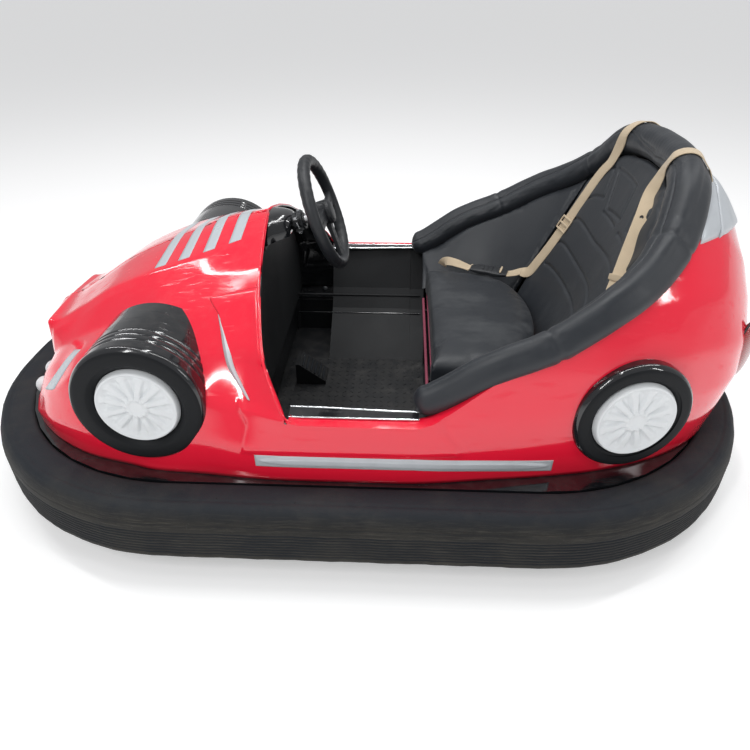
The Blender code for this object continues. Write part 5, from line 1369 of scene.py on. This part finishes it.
def moulding(name, start, end, outward, widths, heights, material, slot, replaces=None):
    """A rounded bar from start to end: its width and height at even steps of its length are given as lists."""
    start, end, outward = spread(start, end, outward)
    share = np.linspace(0, 1, 48)
    along = unit(end - start)
    across = unit(np.cross(along, outward))
    section = stretched(plate_outline(1.0, 1.0, 0.55), curve(widths, share) / 2, curve(heights, share) / 2)
    return swept(name, start + (end - start) * share[:, None], across, np.cross(across, along), section, material,
                 slot=slot, replaces=replaces, smooth_deg=45)


def bar(name, middle, way, half, outward, width, height, material=strap_cloth, slot="strap_webbing"):
    """A short moulding about its middle; width and height are given as (at the ends, between them)."""
    return moulding(name, middle - way * half, middle + way * half, outward, width + width[::-1],
                    height + height[::-1], material, slot)


UP = np.array([0.0, 0.0, 1.0])
BUCKLE_START, BUCKLE_END, BUCKLE_OUT = (np.array(place) for place in (
    (-0.404, -0.2035, 0.3985), (-0.302, -0.2375, 0.4000), (0, 0.12, 1)))
buckle_way = unit(BUCKLE_END - BUCKLE_START)
buckle_side = unit(np.cross(buckle_way, BUCKLE_OUT))
moulding("buckle", BUCKLE_START, BUCKLE_END, BUCKLE_OUT, (0.030, 0.042, 0.044, 0.038, 0.040, 0.036, 0.026),
         (0.008, 0.012, 0.015, 0.014, 0.015, 0.012, 0.007), wheel_black, "satin_black", "harness_buckle")
bar("buckle_bar", BUCKLE_START + buckle_way * 0.018 + UP * 0.0085, buckle_side, 0.017, UP, (0.004, 0.006),
    (0.003, 0.004))
for number, along in enumerate((0.0432, 0.05616, 0.06912)):
    bar(f"buckle_rib_{number + 1}", BUCKLE_START + buckle_way * along + UP * 0.0082, buckle_side, 0.013, UP,
        (0.0018, 0.0026), (0.0014, 0.0022), wheel_black, "satin_black")
slide_out = far_down[1][4]
slide = far_down[0][4] + slide_out * 0.0042
slide_way = unit(far_down[0][5] - far_down[0][4])
slide_side = unit(np.cross(slide_way, slide_out))
for number, step in enumerate((-0.017, 0.0, 0.017)):
    bar(f"slide_bar_{number + 1}", slide + slide_way * step, slide_side, 0.0195, slide_out, (0.004, 0.0055),
        (0.003, 0.0042))
for number, step in enumerate((-0.0185, 0.0185)):
    bar(f"slide_side_{number + 1}", slide + slide_side * step, slide_way, 0.019, slide_out, (0.003, 0.004),
        (0.003, 0.004))
keeper_side = unit(np.cross(near_hang[7] - near_hang[6], near_turned[4]))
bar("keeper", near_hang[5] + near_turned[4] * 0.004, keeper_side, 0.019, near_turned[4], (0.012, 0.016),
    (0.005, 0.006))
bar("tail_loop", tail[0] + UP * 0.003, unit(np.cross(tail[1] - tail[0], tail_out[0])), 0.018, UP, (0.005, 0.008),
    (0.004, 0.006))
turned("strap_eyelet", near_hang[2] + near_turned[2] * 0.0018, near_turned[2],
       [(0.0025, 0.0), (0.0038, 0.0006), (0.0042, 0.0), (0.0038, -0.0006)], 20, satin_black, slot="satin_black")
print("buckle", round(float(np.linalg.norm(BUCKLE_END - BUCKLE_START)), 3), "m long")

# %% [markdown]
# Steering: a thick moulded ring with three flat pads, a capped hub, and the clamp that holds its column.
# The ring and hub turn with the steering body, and the clamp and the black hood behind it stay with the chassis.
# A ring is a circle carried round a circle; its grip swells a little between the pads.

# %% Steering
WHEEL_CENTRE = np.array([0.092, 0.0, 0.645])
WHEEL_TILT = math.radians(19.1)
WHEEL_AXIS = np.array([math.cos(WHEEL_TILT), 0.0, -math.sin(WHEEL_TILT)])
WHEEL_SIDE = np.array([0.0, 1.0, 0.0])
WHEEL_UP = np.cross(WHEEL_AXIS, WHEEL_SIDE)
GRIP_RING, GRIP_RADIUS = 0.1255, 0.0142
PAD_TURNS, PAD_DOTS = (0.0, 180.0, 270.0), 5
COLLAR_PLACE = 0.0675
HUB_PROFILE = [(0.004, -0.0215), (0.016, -0.0210), (0.023, -0.0195), (0.0275, -0.0165), (0.0290, -0.0120),
               (0.0302, -0.0112), (0.0302, 0.0120), (0.0285, 0.0150), (0.0240, 0.0165), (0.0180, 0.0170)]
DOT_PROFILE = [(0.0008, 0.0011), (0.0026, 0.0009), (0.0034, 0.0), (0.0030, -0.0010)]
COLLAR_PROFILE = [(0.0180, -0.012), (0.0225, -0.012), (0.0235, -0.011), (0.0235, -0.003), (0.0205, -0.002),
                  (0.0205, 0.002), (0.0235, 0.003), (0.0235, 0.011), (0.0225, 0.012), (0.0180, 0.012)]
BOLT_PROFILE = [(0.0035, -0.0225), (0.0035, -0.0200), (0.0062, -0.0198), (0.0062, -0.0150), (0.0040, -0.0148),
                (0.0030, -0.0145), (0.0030, 0.0140), (0.0060, 0.0142), (0.0060, 0.0190), (0.0030, 0.0192)]
HOOD = [  # Place along the car, half width, height of the top and of the foot
    (0.2500, 0.060, 0.6340, 0.5700), (0.2460, 0.068, 0.6390, 0.5730), (0.2380, 0.076, 0.6450, 0.5800),
    (0.2250, 0.077, 0.6490, 0.5880), (0.2050, 0.066, 0.6495, 0.5950), (0.1880, 0.058, 0.6475, 0.5990),
    (0.1780, 0.052, 0.6440, 0.6010), (0.1730, 0.046, 0.6400, 0.6030), (0.1715, 0.036, 0.6330, 0.6070),
]
riding = {"body": "steering", "slot": "satin_black"}


def on_column(along, side=0.0, up=0.0):
    """A place on the column's axis, so far ahead of the wheel's centre, and off it to the side and up."""
    return WHEEL_CENTRE + WHEEL_AXIS * along + WHEEL_SIDE * side + WHEEL_UP * up


grip_angle = np.linspace(0, TURN, 144, endpoint=False)
grip_away = np.min([np.abs((np.degrees(grip_angle) - turn + 180) % 360 - 180) for turn in PAD_TURNS], axis=0)
grip_size = GRIP_RADIUS + 0.0006 * ramp(grip_away, 16, 24) + 0.0004 * np.cos(grip_angle * 36) * ramp(grip_away, 18, 24)
grip_out = WHEEL_SIDE * np.cos(grip_angle)[:, None] + WHEEL_UP * np.sin(grip_angle)[:, None]
swept("steering_ring", WHEEL_CENTRE + GRIP_RING * grip_out, grip_out, WHEEL_AXIS, circle(grip_size), wheel_black,
      wrap=True, replaces="steering_wheel", smooth_deg=60, **riding)
turned("steering_hub", WHEEL_CENTRE, WHEEL_AXIS, HUB_PROFILE, 48, wheel_black, smooth_deg=35, **riding)
pad_share = np.linspace(0, 1, 30)
pad_width = through([0, 0.25, 0.5, 0.8, 1.0], [0.0165, 0.0150, 0.0150, 0.0165, 0.0215], pad_share)
pad_depth = through([0, 0.3, 0.8, 1.0], [0.0075, 0.0052, 0.0050, 0.0075], pad_share)
for number, turn in enumerate(PAD_TURNS):
    out = WHEEL_SIDE * math.cos(math.radians(turn)) + WHEEL_UP * math.sin(math.radians(turn))
    path = WHEEL_CENTRE + out * (0.020 + (GRIP_RING - 0.024) * pad_share[:, None])
    swept(f"steering_pad_{number + 1}", path, np.cross(out, WHEEL_AXIS), WHEEL_AXIS,
          stretched(plate_outline(1.0, 1.0, 0.35), pad_width, pad_depth), wheel_black, smooth_deg=40, **riding)
    for dot in range(PAD_DOTS):
        turned(f"pad_dot_{number + 1}_{dot + 1}", WHEEL_CENTRE + out * (0.046 + 0.0125 * dot) - WHEEL_AXIS * 0.0050,
               -WHEEL_AXIS, DOT_PROFILE, 14, wheel_black, smooth_deg=60, **riding)

hood_x, hood_half, hood_top, hood_low = curve(HOOD, np.linspace(0, 1, 40)).T[..., None]
arch = np.linspace(0, math.pi, 33)
hood_points = np.stack(np.broadcast_arrays(
    hood_x, hood_half * np.sign(np.cos(arch)) * np.abs(np.cos(arch)) ** 0.85,
    hood_low + (hood_top - hood_low) * np.sin(arch) ** 0.72), axis=-1)
closed_form("column_hood", hood_points, black, slot="gloss_black", smooth_deg=40)
turned("column_collar", on_column(COLLAR_PLACE), WHEEL_AXIS, COLLAR_PROFILE, 40, wheel_black, slot="satin_black",
       smooth_deg=30)
for number, (side, rise) in enumerate(((1, 0.012), (1, -0.012), (-1, 0.012), (-1, -0.012))):
    moulding(f"clamp_ear_{number + 1}", on_column(COLLAR_PLACE, side * 0.016, rise),
             on_column(COLLAR_PLACE, side * 0.034, rise), WHEEL_UP, (0.018, 0.018, 0.016), (0.007, 0.007, 0.006),
             satin_black, "satin_black")
for number, side in enumerate((1, -1)):
    turned(f"clamp_bolt_{number + 1}", on_column(COLLAR_PLACE, side * 0.0275), WHEEL_UP, BOLT_PROFILE, 6, chrome,
           slot="bare_steel", smooth_deg=20)
print("steering ready, collar at", on_column(COLLAR_PLACE).round(3).tolist())

# %% [markdown]
# The well's floor is a worn tread plate: rows of small lozenges, turned one way and the other.
# Each is six faces, and the whole field is one mesh made from arrays.
# The pedal gets ribs, and each lining two rails and a knob, as the photograph shows on the far side.

# %% Floor, pedal and linings
TREAD_PITCH, TREAD_LONG, TREAD_SHORT, TREAD_HEIGHT, TREAD_LEVEL = 0.022, 0.0078, 0.0026, 0.0011, 0.1003
TREAD_LEAN = math.radians(40)
PEDAL_MIDDLE, PEDAL_KEEP = np.array([0.165, -0.085]), np.array([0.055, 0.049])
PEDAL_LOW, PEDAL_HIGH = np.array([0.1217, -0.085, 0.1109]), np.array([0.1984, -0.085, 0.1684])
RAILS = ((0.3400, 0.1880, 0.0022), (0.3810, 0.2330, 0.0034))
KNOB_PROFILE = [(0.0040, -0.004), (0.0085, -0.003), (0.0090, 0.003), (0.0070, 0.006), (0.0030, 0.0068)]
tread_x, tread_y = np.meshgrid(np.arange(-0.158, 0.250, TREAD_PITCH), np.arange(-0.187, 0.188, TREAD_PITCH),
                               indexing="ij")
lean = np.where((np.indices(tread_x.shape).sum(axis=0) % 2) == 0, TREAD_LEAN, -TREAD_LEAN).ravel()
spots = np.stack([tread_x.ravel(), tread_y.ravel()], axis=-1)
clear_of_pedal = ~(np.abs(spots - PEDAL_MIDDLE) < PEDAL_KEEP).all(axis=1)
lean, spots = lean[clear_of_pedal], spots[clear_of_pedal]
long_way, short_way = (np.stack(way, axis=-1) for way in ((np.cos(lean), np.sin(lean)), (-np.sin(lean), np.cos(lean))))
corners = []
for size, height in ((1.0, TREAD_LEVEL - 0.0002), (0.62, TREAD_LEVEL + TREAD_HEIGHT)):
    for ahead, aside in ((1, 0), (0, 1), (-1, 0), (0, -1)):
        flat = spots + long_way * (TREAD_LONG * ahead * size) + short_way * (TREAD_SHORT * aside * size)
        corners.append(np.concatenate([flat, np.full((len(flat), 1), height)], axis=1))
box_faces = np.array([(0, 1, 5, 4), (1, 2, 6, 5), (2, 3, 7, 6), (3, 0, 4, 7), (4, 5, 6, 7), (3, 2, 1, 0)])
piece("tread_lozenges", np.stack(corners, axis=1), np.arange(len(spots))[:, None, None] * 8 + box_faces[None],
      tread_paint, inside=(0, 0, -5.0), slot="bare_steel", smooth_deg=10)

pedal_way = unit(PEDAL_HIGH - PEDAL_LOW)
pedal_out = unit(np.cross(pedal_way, WHEEL_SIDE))
pedal_out = pedal_out * np.sign(pedal_out[2])
for number in range(6):
    bar(f"pedal_rib_{number + 1}", PEDAL_LOW + pedal_way * (0.012 + 0.0142 * number) + pedal_out * 0.0008, WHEEL_SIDE,
        0.033, pedal_out, (0.004, 0.0062), (0.003, 0.0046), tyre_rubber, "tyre_rubber")


def straight(start, end, steps):
    """Points at even steps from start to end."""
    start, end = spread(start, end)
    return start + (end - start) * np.linspace(0, 1, steps)[:, None]


for word, side in sides:
    for number, (across, height, radius) in enumerate(RAILS):
        path = straight((-0.160, side * across, height), (0.2435, side * across, height), 50)
        swept(f"lining_rail_{word}_{number + 1}", path,
              WHEEL_SIDE, UP, circle(radius), lining_black if number else black, slot="gloss_black", smooth_deg=60)
    turned(f"lining_knob_{word}", (0.155, side * 0.3935, 0.2475), (0, -side * 0.9, 0.42), KNOB_PROFILE, 24,
           wheel_black, slot="satin_black", smooth_deg=60)
swept("board_lip", straight((-0.1662, -0.236, 0.2925), (-0.1662, 0.236, 0.2925), 40), (1.0, 0, 0), UP,
      plate_outline(0.0036, 0.0062, 0.0025, 3), board_red, slot="board_red", smooth_deg=40)
print("lozenges", len(spots))

# %% [markdown]
# A black strip with two bright edges covers the joint between sill and lining.
# Behind the seat a silver cap closes the tail, and lamps sit in shallow black rings.
# The cap is laid on the body like the stripes, so it follows its curves.

# %% Sill trims, tail cap and lamps
TRIM_LEVEL, TRIM_NEAR, TRIM_FAR = 0.3722, 0.4415, 0.4690
CAP_FRONT, CAP_LENGTH, CAP_FOOT_LEVEL = -0.7457, 0.085, 0.687
LENS_PLACE, LENS_TURN, LENS_SIZE = (-0.8680, 0.245, 0.4250), math.radians(48.0), (0.0150, 0.042, 0.070)
DOME_RADIUS, DOME_SHARES = 0.0215, ((0.966, 0.304, 0.091), (0.980, 0.388, 0.052))
trim_x = np.linspace(-0.141, 0.1285, 40)
trim_inner = TRIM_NEAR - 0.010 * ramp(trim_x, -0.14, 0.12)
trim_cover = stretched(plate_outline(1.0, 1.0, 0.25, 3), (TRIM_FAR - trim_inner) / 2, 0.0021)


def along_sill(across, lift):
    """A path along the sill, so far out from the middle and lifted over the trim's level."""
    return np.stack(spread(trim_x, across, TRIM_LEVEL + lift), axis=1)


for word, side in sides:
    swept(f"sill_cover_{word}", along_sill(side * (trim_inner + TRIM_FAR) / 2, 0.0022), WHEEL_SIDE, UP, trim_cover,
          black, slot="satin_black", replaces=f"sill_trim_{word}")
    for number, (across, radius) in enumerate(((trim_inner + 0.0010, 0.0030), (TRIM_FAR - 0.0008, 0.0022))):
        swept(f"sill_bead_{word}_{number + 1}", along_sill(side * across, 0.0030), WHEEL_SIDE, UP, circle(radius),
              chrome, slot="silver_trim", smooth_deg=60)


def share_at_width(x, width):
    """How far over the lines the surface narrows to a half width, at each place, above the shoulder."""
    dense = np.linspace(3.0, LAST_LINE, 161)
    widths = np.minimum.accumulate(section_point(x.reshape(-1, 1), dense[None, :])[0], axis=1)
    return np.array([np.interp(-limit, -row, dense) for limit, row in zip(width.ravel(), widths)]).reshape(x.shape)


cap_run, cap_side = np.linspace(0, 1, 18)[:, None], np.linspace(-1, 1, 49)[None, :]
cap_x = CAP_FRONT + 0.004 - (CAP_LENGTH + 0.004) * cap_run + 0 * cap_side
cap_width = np.abs(cap_side) * np.interp(cap_x, (-0.835, -0.800, -0.770, -0.742), (0.112, 0.172, 0.213, 0.243))
cap_lift = 0.0084 * edged((1 - np.abs(cap_side)) * 0.15, 0.010) * edged((1 - cap_run) * 0.085, 0.010)
cap_lift = cap_lift + 0.0016 * np.exp(-((np.abs(cap_side) - 0.52) / 0.07) ** 2) * ramp(1 - cap_run, 0.0, 0.3) - 0.0004
laid("tail_cap", cap_x, share_at_width(cap_x, cap_width), cap_lift, silver_paint, np.where(cap_side < 0, -1, 1),
     wall=CAP_WALL, replaces="tail_fairing", smooth_deg=50)
wing_x, wing_rise = np.linspace(-0.688, CAP_FRONT + 0.004, 14)[None, :], np.linspace(0, 1, 12)[:, None]
wing_low, wing_high = share_at(wing_x, CAP_FOOT_LEVEL)[0], edge_share(wing_x[0]) - 0.03
wing_lift = 0.0076 * edged(wing_rise, 0.25) * edged(np.linspace(0, 1, 14)[None, :] + 0.02, 0.25) - 0.0002
laid_pair("tail_cap", wing_x, wing_low + (wing_high - wing_low) * wing_rise, wing_lift, silver_paint, wall=CAP_WALL,
          smooth_deg=50)


def dome(name, place, size, turn, material, replaced, slot):
    """An oval dome: the sum of (offset / size)^2.2 is 1, turned about the upright."""
    north = np.linspace(0.02, math.pi - 0.02, 32)[:, None]
    east = np.linspace(0, TURN, 64, endpoint=False)[None, :]
    ball = np.stack([np.cos(north) + 0 * east, np.sin(north) * np.cos(east), np.sin(north) * np.sin(east)], axis=-1)
    ball = np.sign(ball) * np.abs(ball) ** (2 / 2.2)
    spin = np.array([[math.cos(turn), -math.sin(turn), 0], [math.sin(turn), math.cos(turn), 0], [0, 0, 1]])
    return closed_form(name, np.asarray(place) + (ball * np.asarray(size)) @ spin.T, material, replaces=replaced,
                       slot=slot, smooth_deg=60)


ring_angle = np.linspace(0, TURN, 72, endpoint=False)[:, None]
for word, side in sides:
    turn = -side * LENS_TURN
    place = np.array(LENS_PLACE) * (1, side, 1)
    dome(f"rear_lens_{word}", place, LENS_SIZE, turn, lamp_red, f"tail_lamp_{word}", "lamp_lens_red")
    out = np.array([-math.cos(turn), -math.sin(turn), 0.0])
    aside = np.array([-math.sin(turn), math.cos(turn), 0.0])
    bezel = place + aside * (0.0425 * np.cos(ring_angle)) + UP * (0.0715 * np.sin(ring_angle)) + out * 0.0005
    swept(f"rear_lens_ring_{word}", bezel, unit(bezel - place), out, circle(0.0028), satin_black, wrap=True,
          slot="satin_black", smooth_deg=60)
    for number, (along, across, up) in enumerate(DOME_SHARES):
        dome(f"nose_dome_{word}_{number + 1}", (along * NOSE_REACH, side * across * BODY_HALF_WIDTH, level(up)),
             (DOME_RADIUS,) * 3, 0.0, white_plastic, f"nose_lamp_{word}_{number + 1}", "white_plastic")
print("tail cap", round(float(cap_lift.max()), 4), "m thick")

# %% [markdown]
# What the solids already show rightly stays, and only its finish changes.
# The deck is the same glossy black as the shell's inside, linings and dash a duller black, and the steel below is
# satin black.
# The running wheels are rubber, and the tread plate carries the most wear.

# %% Finishes of the kept solids
KEPT = {
    black: ("chassis_deck",),
    lining_black: ("cockpit_liner_left", "cockpit_liner_right", "dash_panel"),
    satin_black: ("bumper_rim", "floor_pan", "seat_base", "drive_mount", "drive_fork", "drive_motor",
                  "rear_bracket_left", "rear_bracket_right", "steering_column", "accelerator_pedal"),
    tread_paint: ("floor_plate",),
    tyre_rubber: ("drive_wheel", "rear_wheel_left", "rear_wheel_right"),
    bare_steel: ("steering_shaft",),
    battery_grey: ("battery_block",),
    board_red: ("cushion_board",),
}
for finish, names in KEPT.items():
    for name in names:
        for spot in bpy.data.objects[name].material_slots:
            spot.material = finish
print("kept solids", sum(len(names) for names in KEPT.values()))

# %% [markdown]
# The boxes of the solids and of everything shown are gathered in one table.

# %% Sizes and finish
size = {"cad": [list(corner) for corner in cad_box], "visual": [list(corner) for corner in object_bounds()]}
